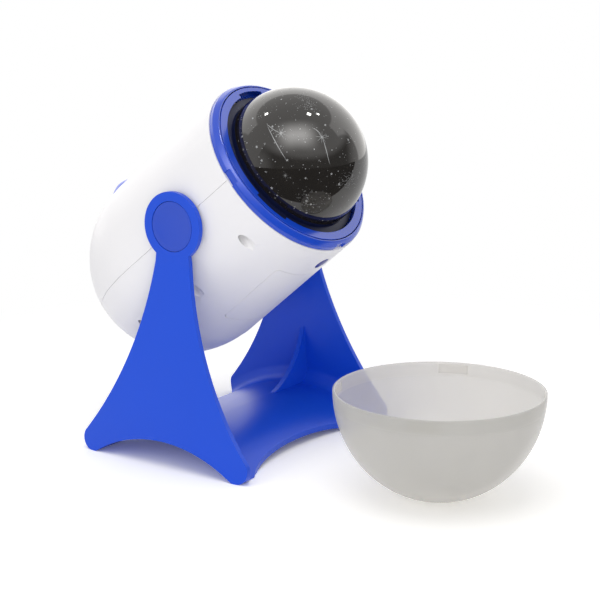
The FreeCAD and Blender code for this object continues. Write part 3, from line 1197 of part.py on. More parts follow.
save_head("battery_bay", make_battery_bay())
for k in range(CELL_COUNT):
    save_head("battery_" + str(k + 1), make_battery(k))
save_head("battery_contacts", make_contacts())
save_head("battery_springs", make_contact_springs())
save_head("battery_door", make_battery_door())

save_head("power_button", make_power_button())
save_head("power_button_spring", make_power_spring())
save_head("power_switch", make_power_switch())
save_head("power_switch_board", make_power_board())
save_head("motor_button", make_motor_button())
save_head("motor_switch", make_motor_switch())
save_head("motor_switch_board", make_motor_switch_board())
save_head("main_board", make_main_board())
save_head("board_components", make_board_parts())
save_head("board_screws", make_board_screws())

cover = make_cover()
cover.translate(V(COVER_X, COVER_Y, 0))
save("diffuser_cover", cover)
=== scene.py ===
"""Star projector in blue and white plastic: its finishes, the printed star dome and the frosted cover."""

import json
import math
import random

import bmesh
import bpy
from mathutils import Matrix, Vector

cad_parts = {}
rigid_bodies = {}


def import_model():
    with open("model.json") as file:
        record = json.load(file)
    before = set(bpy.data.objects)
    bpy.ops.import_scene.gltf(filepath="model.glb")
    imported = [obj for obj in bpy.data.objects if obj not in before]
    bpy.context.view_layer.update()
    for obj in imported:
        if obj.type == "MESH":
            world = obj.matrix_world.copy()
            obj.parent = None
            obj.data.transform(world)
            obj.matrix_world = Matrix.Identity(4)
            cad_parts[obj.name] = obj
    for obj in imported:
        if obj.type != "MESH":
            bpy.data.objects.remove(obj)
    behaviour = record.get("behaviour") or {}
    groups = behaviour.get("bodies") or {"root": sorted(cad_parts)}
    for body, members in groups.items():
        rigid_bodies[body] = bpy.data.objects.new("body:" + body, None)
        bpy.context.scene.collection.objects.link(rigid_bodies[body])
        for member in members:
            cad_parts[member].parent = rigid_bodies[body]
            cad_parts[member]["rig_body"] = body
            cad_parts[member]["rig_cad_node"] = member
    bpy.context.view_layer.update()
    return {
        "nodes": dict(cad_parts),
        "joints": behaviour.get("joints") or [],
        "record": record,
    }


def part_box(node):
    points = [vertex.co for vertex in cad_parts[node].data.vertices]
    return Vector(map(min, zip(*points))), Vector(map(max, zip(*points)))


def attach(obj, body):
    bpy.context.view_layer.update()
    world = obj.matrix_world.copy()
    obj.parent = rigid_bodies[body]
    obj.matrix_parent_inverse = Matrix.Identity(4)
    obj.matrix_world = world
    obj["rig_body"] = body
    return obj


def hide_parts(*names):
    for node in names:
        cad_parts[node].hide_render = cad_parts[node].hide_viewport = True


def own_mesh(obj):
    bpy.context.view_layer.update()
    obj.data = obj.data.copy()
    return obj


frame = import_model()
bpy.context.scene.view_settings.view_transform = "Standard"


# ---- Camera
# A long lens to the front left of the projector and a little above its head. It looks slightly down, so the
# dome, the side of the casing and the open mouth of the cover all show.

lens_length = 95.76
film_width = 36.0
farthest_view = 20.0
camera_place = (-0.8558, -0.5889, 0.3473)
look_at = Vector((0.0414, 0.0388, 0.0942))

camera_data = bpy.data.cameras.new("camera")
camera_data.lens = lens_length
camera_data.sensor_width = film_width
camera_data.clip_end = farthest_view
camera = bpy.data.objects.new("camera", camera_data)
bpy.context.scene.collection.objects.link(camera)
bpy.context.scene.camera = camera
camera.location = camera_place
camera.rotation_euler = (look_at - camera.location).to_track_quat("-Z", "Y").to_euler()


# ---- Studio
# White table that runs out of sight, four soft boxes, and a white surround. What the gloss mirrors is the
# rest of the studio: the backdrop, the dark room behind the viewer, a soft box over it and three small lamps.

def new_material(name):
    """A material with an empty tree, its nodes and its links."""
    material = bpy.data.materials.new(name)
    material.use_nodes = True
    material.node_tree.nodes.clear()
    return material, material.node_tree.nodes, material.node_tree.links


def computed(nodes, links, operation, *values):
    """The output of a Math node; each value is a number or a socket."""
    node = nodes.new("ShaderNodeMath")
    node.operation = operation
    for socket, value in zip(node.inputs, values):
        if isinstance(value, (int, float)):
            socket.default_value = value
        else:
            links.new(value, socket)
    return node.outputs[0]


def along(nodes, links, direction, axis):
    """How far a direction or place socket reaches along an axis."""
    node = nodes.new("ShaderNodeVectorMath")
    node.operation = "DOT_PRODUCT"
    links.new(direction, node.inputs[0])
    node.inputs[1].default_value = axis
    return node.outputs["Value"]


def smooth_step(nodes, links, value, start, end):
    """0 before start, 1 past end, and soft between them; start may be the larger."""
    node = nodes.new("ShaderNodeMapRange")
    node.interpolation_type = "SMOOTHSTEP"
    links.new(value, node.inputs["Value"])
    node.inputs["From Min"].default_value = start
    node.inputs["From Max"].default_value = end
    return node.outputs["Result"]


def mixed(nodes, links, share, first, second):
    """A Mix Shader's output: the first shader, and the second by its share."""
    node = nodes.new("ShaderNodeMixShader")
    links.new(share, node.inputs["Fac"])
    links.new(first, node.inputs[1])
    links.new(second, node.inputs[2])
    return node.outputs[0]


def towards(azimuth, elevation):
    """The direction at an azimuth and an elevation, in radians."""
    return Vector((math.cos(elevation) * math.cos(azimuth), math.cos(elevation) * math.sin(azimuth),
                   math.sin(elevation)))


def level_left_of(azimuth):
    """The level direction square to an azimuth."""
    return Vector((-math.sin(azimuth), math.cos(azimuth), 0))


table_size = 8.0
table_white = (1.25, 1.24, 1.21, 1)
table_bounce = (0.98, 0.98, 0.98, 1)    # what light that bounces about the object meets
table_veil = 0.02                       # a faint glow that lifts the shadows
table_fade = (0.28, 0.50)               # where its shading gives way to plain white
table_front = towards(math.radians(-125), 0)
table_front_distance = 0.142            # where the table ends in the gloss
table_front_blur = 0.008
beyond_table = 0.1
ambient_colour, ambient_level = (0.98, 0.98, 1.0, 1), 0.66
mirrored_colour = (1.0, 0.985, 0.965, 1)
room_level = 1.1

bpy.ops.mesh.primitive_plane_add(size=table_size, location=(0, 0, 0))
table = bpy.context.object
table.name = "table"
table_material, nodes, links = new_material("white_table")
out = nodes.new("ShaderNodeOutputMaterial")
path = nodes.new("ShaderNodeLightPath")
place = nodes.new("ShaderNodeTexCoord").outputs["Object"]
paper = nodes.new("ShaderNodeBsdfDiffuse")
paper.inputs["Color"].default_value = table_bounce
near_paper = nodes.new("ShaderNodeBsdfDiffuse")
near_paper.inputs["Color"].default_value = table_white
veil = nodes.new("ShaderNodeEmission")
veil.inputs["Strength"].default_value = table_veil
near = nodes.new("ShaderNodeAddShader")
links.new(near_paper.outputs[0], near.inputs[0])
links.new(veil.outputs[0], near.inputs[1])
distance = nodes.new("ShaderNodeVectorMath")
distance.operation = "LENGTH"
links.new(place, distance.inputs[0])
far_off = smooth_step(nodes, links, distance.outputs["Value"], *table_fade)
past_edge = smooth_step(nodes, links, along(nodes, links, place, table_front),
                        table_front_distance - table_front_blur / 2,
                        table_front_distance + table_front_blur / 2)
past_front = computed(nodes, links, "MULTIPLY", path.outputs["Is Glossy Ray"], past_edge)
far = nodes.new("ShaderNodeEmission")
links.new(computed(nodes, links, "MULTIPLY_ADD", past_front, beyond_table - 1.0, 1.0), far.inputs["Strength"])
seen = mixed(nodes, links, computed(nodes, links, "MAXIMUM", far_off, past_front), near.outputs[0],
             far.outputs[0])
mirrored_or_through = computed(nodes, links, "MAXIMUM", path.outputs["Is Glossy Ray"],
                               path.outputs["Is Transmission Ray"])
looked_at = computed(nodes, links, "MAXIMUM", path.outputs["Is Camera Ray"], mirrored_or_through)
links.new(mixed(nodes, links, looked_at, paper.outputs[0], seen), out.inputs["Surface"])
table.data.materials.append(table_material)

world = bpy.data.worlds.new("studio")
bpy.context.scene.world = world
world.use_nodes = True
nodes, links = world.node_tree.nodes, world.node_tree.links
nodes.clear()
out = nodes.new("ShaderNodeOutputWorld")
path = nodes.new("ShaderNodeLightPath")
looking = nodes.new("ShaderNodeTexCoord").outputs["Generated"]


def soft_window(azimuth, elevation, half_width, half_height, blur):
    """1 inside a soft-edged window of the surroundings, 0 outside; widths are sines from its centre."""
    azimuth = math.radians(azimuth)
    centre = towards(azimuth, math.radians(elevation))
    across = level_left_of(azimuth)
    inside = computed(nodes, links, "GREATER_THAN", along(nodes, links, looking, centre), 0.0)
    for axis, half in ((across, half_width), (centre.cross(across), half_height)):
        reach = computed(nodes, links, "ABSOLUTE", along(nodes, links, looking, axis))
        side = smooth_step(nodes, links, reach, half + blur / 2, half - blur / 2)
        inside = computed(nodes, links, "MULTIPLY", inside, side)
    return inside


def background(colour, strength=1.0):
    """A Background shader of the world's tree."""
    node = nodes.new("ShaderNodeBackground")
    node.inputs["Color"].default_value = colour
    node.inputs["Strength"].default_value = strength
    return node


# Each window's azimuth, elevation, half width, half height and blur, and its brightness.
surroundings = (
    (33, 0, 0.866, 0.719, 0.03, 2.0),           # the lit backdrop behind the projector
    (-138, 49, 0.36, 0.23, 0.50, 6.2),          # a soft box over the viewer
    (-115, -15, 0.94, 0.46, 0.20, 0.25),        # the dark room behind the viewer
    (106.7, 58.4, 0.028, 0.028, 0.02, 60.0),    # three small lamps
    (-55.8, 72.4, 0.036, 0.036, 0.02, 60.0),
    (-41.5, 62.1, 0.022, 0.022, 0.02, 60.0),
)
level = room_level
for *window, brightness in surroundings:
    step = computed(nodes, links, "SUBTRACT", brightness, level)
    level = computed(nodes, links, "MULTIPLY_ADD", soft_window(*window), step, level)

ambient = background(ambient_colour, ambient_level)
mirrored = background(mirrored_colour)
links.new(level, mirrored.inputs["Strength"])
white = background((1, 1, 1, 1))
lighting = mixed(nodes, links, path.outputs["Is Glossy Ray"], ambient.outputs[0], mirrored.outputs[0])
looked_at = computed(nodes, links, "MAXIMUM", path.outputs["Is Camera Ray"],
                     path.outputs["Is Transmission Ray"])
links.new(mixed(nodes, links, looked_at, lighting, white.outputs[0]), out.inputs["Surface"])


def soft_box(name, place, aim, size, power):
    """A lit rectangle that faces its aim and leaves no image in the gloss."""
    light = bpy.data.lights.new(name, "AREA")
    light.shape = "RECTANGLE"
    light.size, light.size_y = size
    light.energy = power
    lamp = bpy.data.objects.new(name, light)
    lamp.location = place
    lamp.rotation_euler = (Vector(aim) - Vector(place)).to_track_quat("-Z", "Y").to_euler()
    lamp.visible_glossy = False
    bpy.context.scene.collection.objects.link(lamp)


soft_box("top_box", place=(-0.4, -0.1, 1.7), aim=(0, 0, 0.1), size=(1.2, 1.2), power=7.0)
soft_box("left_box", place=(-1.6, 0.4, 0.9), aim=(0, 0, 0.15), size=(0.9, 1.1), power=3.0)
soft_box("front_box", place=(-0.3, -1.5, 0.25), aim=(0, 0, 0.12), size=(0.9, 0.4), power=1.0)
soft_box("viewer_box", place=(-1.35, -0.95, 0.32), aim=(0, 0, 0.12), size=(1.0, 0.5), power=5.5)


# ---- Head frame
# The head hangs tilted on two pins in the stand. What is shaped here for it stands upright at first, and is
# then turned into the head's own directions: along the pins, up through the casing, out through the dome.

joints = {joint["name"]: joint for joint in frame["joints"]}
pivot = Vector(joints["head_tilt"]["pos_m"])
along_head = Vector(joints["turntable_spin"]["axis"]).normalized()
along_pivot = Vector((1, 0, 0))
up_head = along_head.cross(along_pivot)
head_place = Matrix.Translation(pivot) @ Matrix((along_pivot, up_head, along_head)).transposed().to_4x4()


# ---- Stand
# One injection moulding in satin blue plastic: its edges are softly rounded by the tool, and a fine
# spark-eroded grain breaks up the gloss.

weld_distance = 1e-6
flat_angle = math.radians(0.3)
gloss_unevenness = 0.15
grain_scale = 2600.0
grain_strength = 0.35
grain_depth = 0.000012


def select_only(piece):
    """Makes the piece the only one selected, and the active one."""
    bpy.ops.object.select_all(action="DESELECT")
    piece.select_set(True)
    bpy.context.view_layer.objects.active = piece


def edit_whole(piece):
    """Opens the piece in edit mode with all of it selected."""
    select_only(piece)
    bpy.ops.object.mode_set(mode="EDIT")
    bpy.ops.mesh.select_all(action="SELECT")


def welded_copy(node, name):
    """The CAD node's shape as a mesh of its own, its loose triangles joined."""
    source = frame["nodes"][node]
    piece = source.copy()
    piece.data = source.data.copy()
    piece.name = name
    piece.parent = None
    piece.data.materials.clear()
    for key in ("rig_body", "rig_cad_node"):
        del piece[key]
    bpy.context.scene.collection.objects.link(piece)
    edit_whole(piece)
    bpy.ops.mesh.remove_doubles(threshold=weld_distance)
    bpy.ops.mesh.customdata_custom_splitnormals_clear()
    bpy.ops.object.mode_set(mode="OBJECT")
    return piece


def round_edges(piece, width, segments, crease_angle, miter="MITER_SHARP"):
    """Bevels the active piece where its faces meet at more than the crease angle, in degrees."""
    bevel = piece.modifiers.new("edges", "BEVEL")
    bevel.width = width
    bevel.segments = segments
    bevel.limit_method = "ANGLE"
    bevel.angle_limit = math.radians(crease_angle)
    bevel.miter_outer = miter
    bpy.ops.object.modifier_apply(modifier=bevel.name)


def soften(piece, width, segments=2, crease_angle=40.0):
    """Rounds the piece's sharp edges and shades the rest smooth."""
    edit_whole(piece)
    bpy.ops.mesh.dissolve_limited(angle_limit=flat_angle)
    bpy.ops.object.mode_set(mode="OBJECT")
    round_edges(piece, width, segments, crease_angle, miter="MITER_ARC")
    bpy.ops.object.shade_smooth_by_angle(angle=math.radians(crease_angle))
    weigh = piece.modifiers.new("flats", "WEIGHTED_NORMAL")
    weigh.keep_sharp = True
    bpy.ops.object.modifier_apply(modifier=weigh.name)


def new_skin(name):
    """A material whose one shader is the Principled one, with its nodes, its links and that shader."""
    material, nodes, links = new_material(name)
    skin = nodes.new("ShaderNodeBsdfPrincipled")
    links.new(skin.outputs[0], nodes.new("ShaderNodeOutputMaterial").inputs["Surface"])
    return material, nodes, links, skin


def clouds(nodes, links, scale, detail=2.0):
    """A cloudy pattern in the piece's own space; a larger scale is finer."""
    noise = nodes.new("ShaderNodeTexNoise")
    noise.inputs["Scale"].default_value = scale
    noise.inputs["Detail"].default_value = detail
    links.new(nodes.new("ShaderNodeTexCoord").outputs["Object"], noise.inputs["Vector"])
    return noise.outputs["Fac"]


def tinted(nodes, links, pattern, first, second):
    """The first colour where the pattern is 0, the second where it is 1."""
    tint = nodes.new("ShaderNodeMixRGB")
    tint.inputs["Color1"].default_value = first + (1,)
    tint.inputs["Color2"].default_value = second + (1,)
    links.new(pattern, tint.inputs["Fac"])
    return tint.outputs["Color"]


def spread_over(nodes, links, pattern, low, high, start=0.0, end=1.0):
    """The low value where the pattern is at its start, the high one at its end."""
    spread = nodes.new("ShaderNodeMapRange")
    spread.inputs["From Min"].default_value = start
    spread.inputs["From Max"].default_value = end
    spread.inputs["To Min"].default_value = low
    spread.inputs["To Max"].default_value = high
    links.new(pattern, spread.inputs["Value"])
    return spread.outputs["Result"]


def shades(colour, spread):
    """The colour a little darker, and a little lighter."""
    return tuple(c * (1 - spread) for c in colour), tuple(min(1, c * (1 + spread)) for c in colour)


def moulded_plastic(name, colour, roughness, coat=0.0, spread=0.04, shine=0.5):
    """Injection-moulded plastic: faint cloudiness in the colour, uneven gloss and a fine moulded grain."""
    material, nodes, links, skin = new_skin(name)
    cloud = clouds(nodes, links, scale=14.0, detail=3.0)
    links.new(tinted(nodes, links, cloud, *shades(colour, spread)), skin.inputs["Base Color"])
    links.new(spread_over(nodes, links, cloud, low=roughness * (1 - gloss_unevenness),
                          high=roughness * (1 + gloss_unevenness)), skin.inputs["Roughness"])
    bump = nodes.new("ShaderNodeBump")
    bump.inputs["Strength"].default_value = grain_strength
    bump.inputs["Distance"].default_value = grain_depth
    links.new(clouds(nodes, links, grain_scale), bump.inputs["Height"])
    links.new(bump.outputs["Normal"], skin.inputs["Normal"])
    skin.inputs["Coat Weight"].default_value = coat
    skin.inputs["Specular IOR Level"].default_value = shine
    return material


def dress(piece, material, body, slot, *nodes):
    """Gives the finished piece its material and its body, in place of the CAD nodes; the slot is not used."""
    piece.data.materials.clear()
    piece.data.materials.append(material)
    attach(piece, body)
    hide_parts(*nodes)


blue = moulded_plastic("blue_abs", colour=(0.006, 0.070, 0.62), roughness=0.34, shine=0.3)
stand = welded_copy("stand", "stand_moulding")
soften(stand, width=0.0006, segments=3)
dress(stand, blue, "stand", "blue_plastic", "stand")


# ---- Casing
# Two white shells of satin ABS that meet in a fine dark line along the middle of the head. Screws from below
# hold them together, and the battery door, of the same ABS, closes the opening in the lower one.

white_abs = moulded_plastic("white_abs", colour=(0.83, 0.82, 0.825), roughness=0.38, spread=0.012)
for node in ("upper_shell", "lower_shell", "battery_door"):
    shell = welded_copy(node, node + "_moulding")
    soften(shell, width=0.00015, segments=1, crease_angle=50.0)
    body = "battery_door" if node == "battery_door" else "head"
    dress(shell, white_abs, body, "white_shell", node)


# ---- Pivot caps
# Blue caps with a shallow dish, sunk in the round heads of the stand. Each is one glossy moulding with the
# shaft that the head tilts on, and a screw inside the casing holds it.

# Their blue is painted a little darker than the stand's: painted shade for the dim room that the dish
# mirrors.
painted_dark_cap_blue = moulded_plastic("painted_dark_cap_abs", colour=(0.006, 0.055, 0.50), roughness=0.18, shine=0.5)
for side in ("left", "right"):
    cap = welded_copy("pivot_pin_" + side, "pivot_cap_" + side)
    soften(cap, width=0.0003, segments=2, crease_angle=30.0)
    dress(cap, painted_dark_cap_blue, "head", "blue_plastic", "pivot_pin_" + side)


# ---- Bezel and turntable
# Two rings moulded in glossy blue. The outer one is fixed in the casing's mouth and has the notches for the
# cover; the inner one runs on the chassis plate, holds the dome's lugs and is turned by the motor.

ring_blue = moulded_plastic("ring_blue_abs", colour=(0.006, 0.058, 0.52), roughness=0.15, shine=0.6)
for node, body in (("bezel_ring", "head"), ("turntable", "turntable")):
    ring = welded_copy(node, node + "_moulding")
    soften(ring, width=0.0004, segments=3, crease_angle=35.0)
    dress(ring, ring_blue, body, "blue_plastic", node)


# ---- Buttons
# The large domed power button on the tail, and the small motor button in its dish under the front of the
# head. Both are glossy blue mouldings that slide in their holes and press on a switch inside.

button_blue = moulded_plastic("button_blue_abs", colour=(0.022, 0.085, 0.60), roughness=0.28, coat=0.2)
motor_button_blue = moulded_plastic("motor_button_abs", colour=(0.008, 0.018, 0.22), roughness=0.3, coat=0.2)
for node, material, slot in (("power_button", button_blue, "blue_plastic"),
                             ("motor_button", motor_button_blue, "dark_blue_plastic")):
    button = welded_copy(node, node + "_moulding")
    soften(button, width=0.0003, segments=2, crease_angle=35.0)
    dress(button, material, node, slot, node)


# ---- Star dome
# A moulded dome of smoked acrylic, polished all over but for its satin flange, which is painted dark navy as
# painted shade for the gap between the dome and the ring. Three lugs on the flange turn into the turntable's
# bayonet and hold it. Heights here run out along the head from the tilt axis.

dome_radius = 0.0495
dome_wall = 0.0015
dome_centre_height = 0.0605
dome_edge = 0.0003
dome_facets, dome_rings = 120, 60
flange_height = 0.0553
flange_top_height = 0.0571
flange_radius = 0.0544
flange_shade_and_satin_drop = 0.0003             # the flange's satin and its painted shade start this far below the dome's rim
lug_radius = 0.0572
lug_width = math.radians(21.0)
lug_drop = 0.0004                       # below the flange's underside
lug_sink = 0.0005                       # into the flange's rim
lug_middles = [math.radians(118.0 + 120.0 * k) for k in range(3)]
block_cuts = 7


def polished_acrylic():
    """Smoked acrylic with a hard polish that handling has smeared a little."""
    material, nodes, links, skin = new_skin("smoked_acrylic")
    smear = clouds(nodes, links, scale=55.0, detail=5.0)
    links.new(tinted(nodes, links, smear, (0.0085, 0.0072, 0.0062), (0.0150, 0.0130, 0.0112)),
              skin.inputs["Base Color"])
    links.new(spread_over(nodes, links, smear, low=0.02, high=0.06, start=0.45, end=0.8),
              skin.inputs["Roughness"])
    skin.inputs["IOR"].default_value = 1.62
    return material


def select_where(piece, test):
    """Selects the faces of a piece in edit mode whose centre passes the test."""
    mesh = bmesh.from_edit_mesh(piece.data)
    for face in mesh.faces:
        face.select = test(face.calc_center_median())
    mesh.select_flush_mode()
    bmesh.update_edit_mesh(piece.data)


def half_ball(radius):
    """The upper half of a ball about the dome's centre, left in edit mode."""
    bpy.ops.object.select_all(action="DESELECT")
    bpy.ops.mesh.primitive_uv_sphere_add(segments=dome_facets, ring_count=dome_rings, radius=radius,
                                         location=(0, 0, dome_centre_height))
    half = bpy.context.object
    bpy.ops.object.transform_apply(location=True, rotation=False, scale=False)
    bpy.ops.object.mode_set(mode="EDIT")
    bpy.ops.mesh.select_mode(type="FACE")
    select_where(half, lambda centre: centre.z < dome_centre_height)
    bpy.ops.mesh.delete(type="FACE")
    return half


def extrude_up(height):
    """Extrudes what is selected by a height, which may be negative."""
    bpy.ops.mesh.extrude_region_move(TRANSFORM_OT_translate={"value": (0, 0, height)})


def extrude_out(ratio):
    """Extrudes what is selected to a ratio of its distance from the vertical axis."""
    bpy.ops.mesh.extrude_region_move()
    bpy.ops.transform.resize(value=(ratio, ratio, 1), center_override=(0, 0, 0))


dome = half_ball(dome_radius)
dome.name = "dome_shell"
bpy.ops.mesh.select_mode(type="EDGE")
bpy.ops.mesh.select_all(action="DESELECT")
bpy.ops.mesh.select_non_manifold()
extrude_up(flange_top_height - dome_centre_height)
extrude_out(flange_radius / dome_radius)
extrude_up(flange_height - flange_top_height)
extrude_out((dome_radius - dome_wall) / flange_radius)
extrude_up(dome_centre_height - flange_height)
bpy.ops.object.mode_set(mode="OBJECT")

lining = half_ball(dome_radius - dome_wall)
bpy.ops.mesh.select_all(action="SELECT")
bpy.ops.mesh.flip_normals()
bpy.ops.object.mode_set(mode="OBJECT")


def curved_block(middle, width, bottom, top, inner_radius, outer_radius):
    """A block bent about the vertical axis; its radii are functions of the height."""
    bpy.ops.object.select_all(action="DESELECT")
    bpy.ops.mesh.primitive_cube_add(size=1.0, location=(0.5, 0, 0.5))
    block = bpy.context.object
    bpy.ops.object.transform_apply(location=True, rotation=False, scale=False)
    edit_whole(block)
    bpy.ops.mesh.subdivide(number_cuts=block_cuts)
    bpy.ops.object.mode_set(mode="OBJECT")
    for vertex in block.data.vertices:
        share = vertex.co.copy()
        angle = middle + width * share.y
        height = bottom + (top - bottom) * share.z
        radius = inner_radius(height) * (1 - share.x) + outer_radius(height) * share.x
        vertex.co = (radius * math.cos(angle), radius * math.sin(angle), height)
    return block


def join(pieces):
    """Joins the pieces into the first."""
    bpy.ops.object.select_all(action="DESELECT")
    for piece in pieces:
        piece.select_set(True)
    bpy.context.view_layer.objects.active = pieces[0]
    bpy.ops.object.join()
    return pieces[0]


lugs = [curved_block(middle, lug_width, flange_height - lug_drop, flange_top_height,
                     lambda height: flange_radius - lug_sink, lambda height: lug_radius)
        for middle in lug_middles]
dome = join([dome, lining])
edit_whole(dome)
bpy.ops.mesh.remove_doubles(threshold=weld_distance)
bpy.ops.mesh.normals_make_consistent(inside=False)
bpy.ops.object.mode_set(mode="OBJECT")
dome = join([dome] + lugs)
dome.data.transform(head_place)
round_edges(dome, dome_edge, segments=2, crease_angle=50)
bpy.ops.object.shade_smooth_by_angle(angle=math.radians(40))
dress(dome, polished_acrylic(), "dome", "smoked_plastic", "star_dome")
# The flange's dark navy is painted shade: it stands for the shaded gap between the dome and the blue ring.
flange_painted_shade = moulded_plastic("dome_flange_painted_shade", colour=(0.005, 0.008, 0.035), roughness=0.38, shine=0.2)
dome.data.materials.append(flange_painted_shade)
in_head = head_place.inverted()
for face in dome.data.polygons:
    face.material_index = int((in_head @ face.center).z < dome_centre_height - flange_shade_and_satin_drop)


# ---- Printed stars
# White ink printed on the dome, as glossy as its polish: five-pointed stars, ray bursts, crescents, shooting
# stars with sweeping trails, and star dust. Each motif is drawn flat and then wrapped onto the dome.

print_lift = 0.00005
lowest_print, highest_print = 0.02, 0.995       # sines of the elevation above the dome's rim
small_share = 1.6                               # above 1, more of the motifs are small
stroke_cells = 28
trail_step = 0.01
trail_tip_share = 0.15
comet_tail_width = 0.00022
comet_turn = 0.35
dust_clouds = ((1.08, 2.36), (0.98, 2.05), (0.72, -1.85), (0.45, 0.4), (0.30, 4.0))
dust_grains = 75
dust_spread = (0.06, 0.12)                      # of elevation and of azimuth
dust_smallest, dust_largest = 0.00008, 0.00026
random.seed(14)


def printing_white():
    """Thin white ink, denser in some places than in others."""
    material, nodes, links, ink = new_skin("printed_white")
    patchy = clouds(nodes, links, scale=160.0)
    links.new(tinted(nodes, links, patchy, (0.13, 0.13, 0.13), (0.48, 0.49, 0.49)), ink.inputs["Base Color"])
    ink.inputs["Roughness"].default_value = 0.06
    ink.inputs["IOR"].default_value = 1.62
    return material


def printed_point(point):
    """The place of the ink over a point near the dome, which is given from the dome's centre."""
    local = point.normalized() * (dome_radius + print_lift)
    return head_place @ (local + Vector((0, 0, dome_centre_height)))


def print_on_dome(shape, elevation, azimuth, turn, size):
    """Wraps a flat shape, drawn about the origin, onto the dome."""
    outward = towards(azimuth, elevation)
    across = level_left_of(azimuth)
    above = outward.cross(across)
    for vertex in shape.data.vertices:
        x = size * (vertex.co.x * math.cos(turn) - vertex.co.y * math.sin(turn))
        y = size * (vertex.co.x * math.sin(turn) + vertex.co.y * math.cos(turn))
        vertex.co = printed_point(outward * dome_radius + across * x + above * y)


def flat_star(points, inner):
    """A star in the flat, its points at one unit and its notches at the inner radius."""
    bpy.ops.object.select_all(action="DESELECT")
    bpy.ops.mesh.primitive_circle_add(vertices=2 * points, radius=1.0, fill_type="TRIFAN")
    star = bpy.context.object
    for vertex in star.data.vertices:
        if vertex.co.length > 0.5 and vertex.index % 2:
            vertex.co *= inner
    return star


def flat_stroke():
    """A strip from -1 to 1 both ways, to be bent along a line."""
    bpy.ops.object.select_all(action="DESELECT")
    bpy.ops.mesh.primitive_grid_add(x_subdivisions=stroke_cells, y_subdivisions=1, size=2.0)
    return bpy.context.object


def flat_crescent(half_angle, half_width, tip_width):
    """An arc of one unit's radius that thins towards its ends."""
    crescent = flat_stroke()
    for vertex in crescent.data.vertices:
        angle = half_angle * vertex.co.x
        width = half_width * (1 - vertex.co.x ** 2) + tip_width
        reach = 1.0 + vertex.co.y * width
        vertex.co = (reach * math.sin(angle), reach * math.cos(angle) - 1.0, 0)
    return crescent


def star_outline(points, inner, line):
    """A star drawn as a thin closed line."""
    bpy.ops.object.select_all(action="DESELECT")
    bpy.ops.mesh.primitive_circle_add(vertices=2 * points, radius=1.0, fill_type="NOTHING")
    star = bpy.context.object
    edit_whole(star)
    extrude_out(1 - line)
    bpy.ops.object.mode_set(mode="OBJECT")
    for vertex in star.data.vertices:
        if vertex.index % 2:
            vertex.co *= inner
    return star


def copy_of(pattern):
    """A copy of a motif with a mesh of its own."""
    piece = pattern.copy()
    piece.data = pattern.data.copy()
    bpy.context.scene.collection.objects.link(piece)
    return piece


star_pattern = flat_star(5, inner=0.42)
outline_pattern = star_outline(5, inner=0.45, line=0.3)
burst_pattern = flat_star(8, inner=0.10)
spark_pattern = flat_star(4, inner=0.14)
dot_pattern = flat_star(3, inner=1.0)
crescent_pattern = flat_crescent(half_angle=1.9, half_width=0.16, tip_width=0.01)
patterns = [star_pattern, outline_pattern, burst_pattern, spark_pattern, dot_pattern, crescent_pattern]
printed = []


def print_many(pattern, count, smallest, largest):
    """Scatters a motif over the dome evenly by area."""
    for _ in range(count):
        height = random.uniform(lowest_print, highest_print)
        motif = copy_of(pattern)
        size = smallest + (largest - smallest) * random.random() ** small_share
        print_on_dome(motif, math.asin(height), random.uniform(0, 2 * math.pi),
                      random.uniform(0, 2 * math.pi), size)
        printed.append(motif)


print_many(star_pattern, 60, smallest=0.0006, largest=0.0013)
print_many(outline_pattern, 18, smallest=0.0012, largest=0.0021)
print_many(burst_pattern, 14, smallest=0.0012, largest=0.0024)
print_many(spark_pattern, 70, smallest=0.0006, largest=0.0014)
print_many(dot_pattern, 620, smallest=0.00010, largest=0.00036)
print_many(crescent_pattern, 3, smallest=0.0012, largest=0.0018)


def print_trail(start, middle, end, half_width):
    """A fine stroke through three places on the dome, each an elevation and an azimuth."""
    def on_path(share):
        """The direction at a share of the one smooth curve through the three places."""
        weights = (2 * (share - 0.5) * (share - 1), 4 * share * (1 - share), 2 * share * (share - 0.5))
        elevation, azimuth = (sum(w * point[k] for w, point in zip(weights, (start, middle, end)))
                              for k in (0, 1))
        return towards(azimuth, elevation)

    trail = flat_stroke()
    for vertex in trail.data.vertices:
        share = (vertex.co.x + 1) / 2
        ahead = on_path(share + trail_step) - on_path(share - trail_step)
        outward = on_path(share)
        width = half_width * (trail_tip_share + (1 - trail_tip_share) * (1 - vertex.co.x ** 2))
        sideways = outward.cross(ahead).normalized()
        vertex.co = printed_point(outward * dome_radius + sideways * width * vertex.co.y)
    printed.append(trail)


def print_comet(tail, bow, head, size):
    """A shooting star: a burst with a fine tail."""
    print_trail(tail, bow, head, comet_tail_width)
    motif = copy_of(burst_pattern)
    print_on_dome(motif, head[0], head[1], comet_turn, size)
    printed.append(motif)


print_comet((0.50, 2.69), (0.55, 2.82), (0.63, 2.95), size=0.0044)
print_trail((0.50, 2.70), (0.515, 3.05), (0.50, 3.36), half_width=0.00024)
print_comet((1.03, 3.10), (1.07, 3.27), (1.06, 3.45), size=0.0048)
print_trail((1.06, 3.45), (0.99, 3.69), (0.84, 3.97), half_width=0.00026)
for turned in (0.3, 5.0):
    print_comet((0.42, turned), (0.60, turned + 0.22), (0.72, turned + 0.5), size=0.0030)
    print_trail((0.30, turned + 0.9), (0.45, turned + 1.15), (0.52, turned + 1.5), half_width=0.00022)

for elevation, azimuth in dust_clouds:
    for _ in range(dust_grains):
        motif = copy_of(dot_pattern)
        print_on_dome(motif, elevation + random.gauss(0, dust_spread[0]),
                      azimuth + random.gauss(0, dust_spread[1]),
                      random.uniform(0, math.pi), random.uniform(dust_smallest, dust_largest))
        printed.append(motif)

for pattern in patterns:
    bpy.data.objects.remove(pattern)
stars = join(printed)
stars.name = "printed_stars"
bpy.ops.object.shade_smooth()
stars.data.materials.clear()
stars.data.materials.append(printing_white())
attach(stars, "dome")


# ---- Frosted cover
# A thin translucent bowl, moulded in one piece with a rounded rim, a slightly thicker collar and four small
# clips inside it. The clips snap over the bezel; off the projector it stands on its flattened crown.

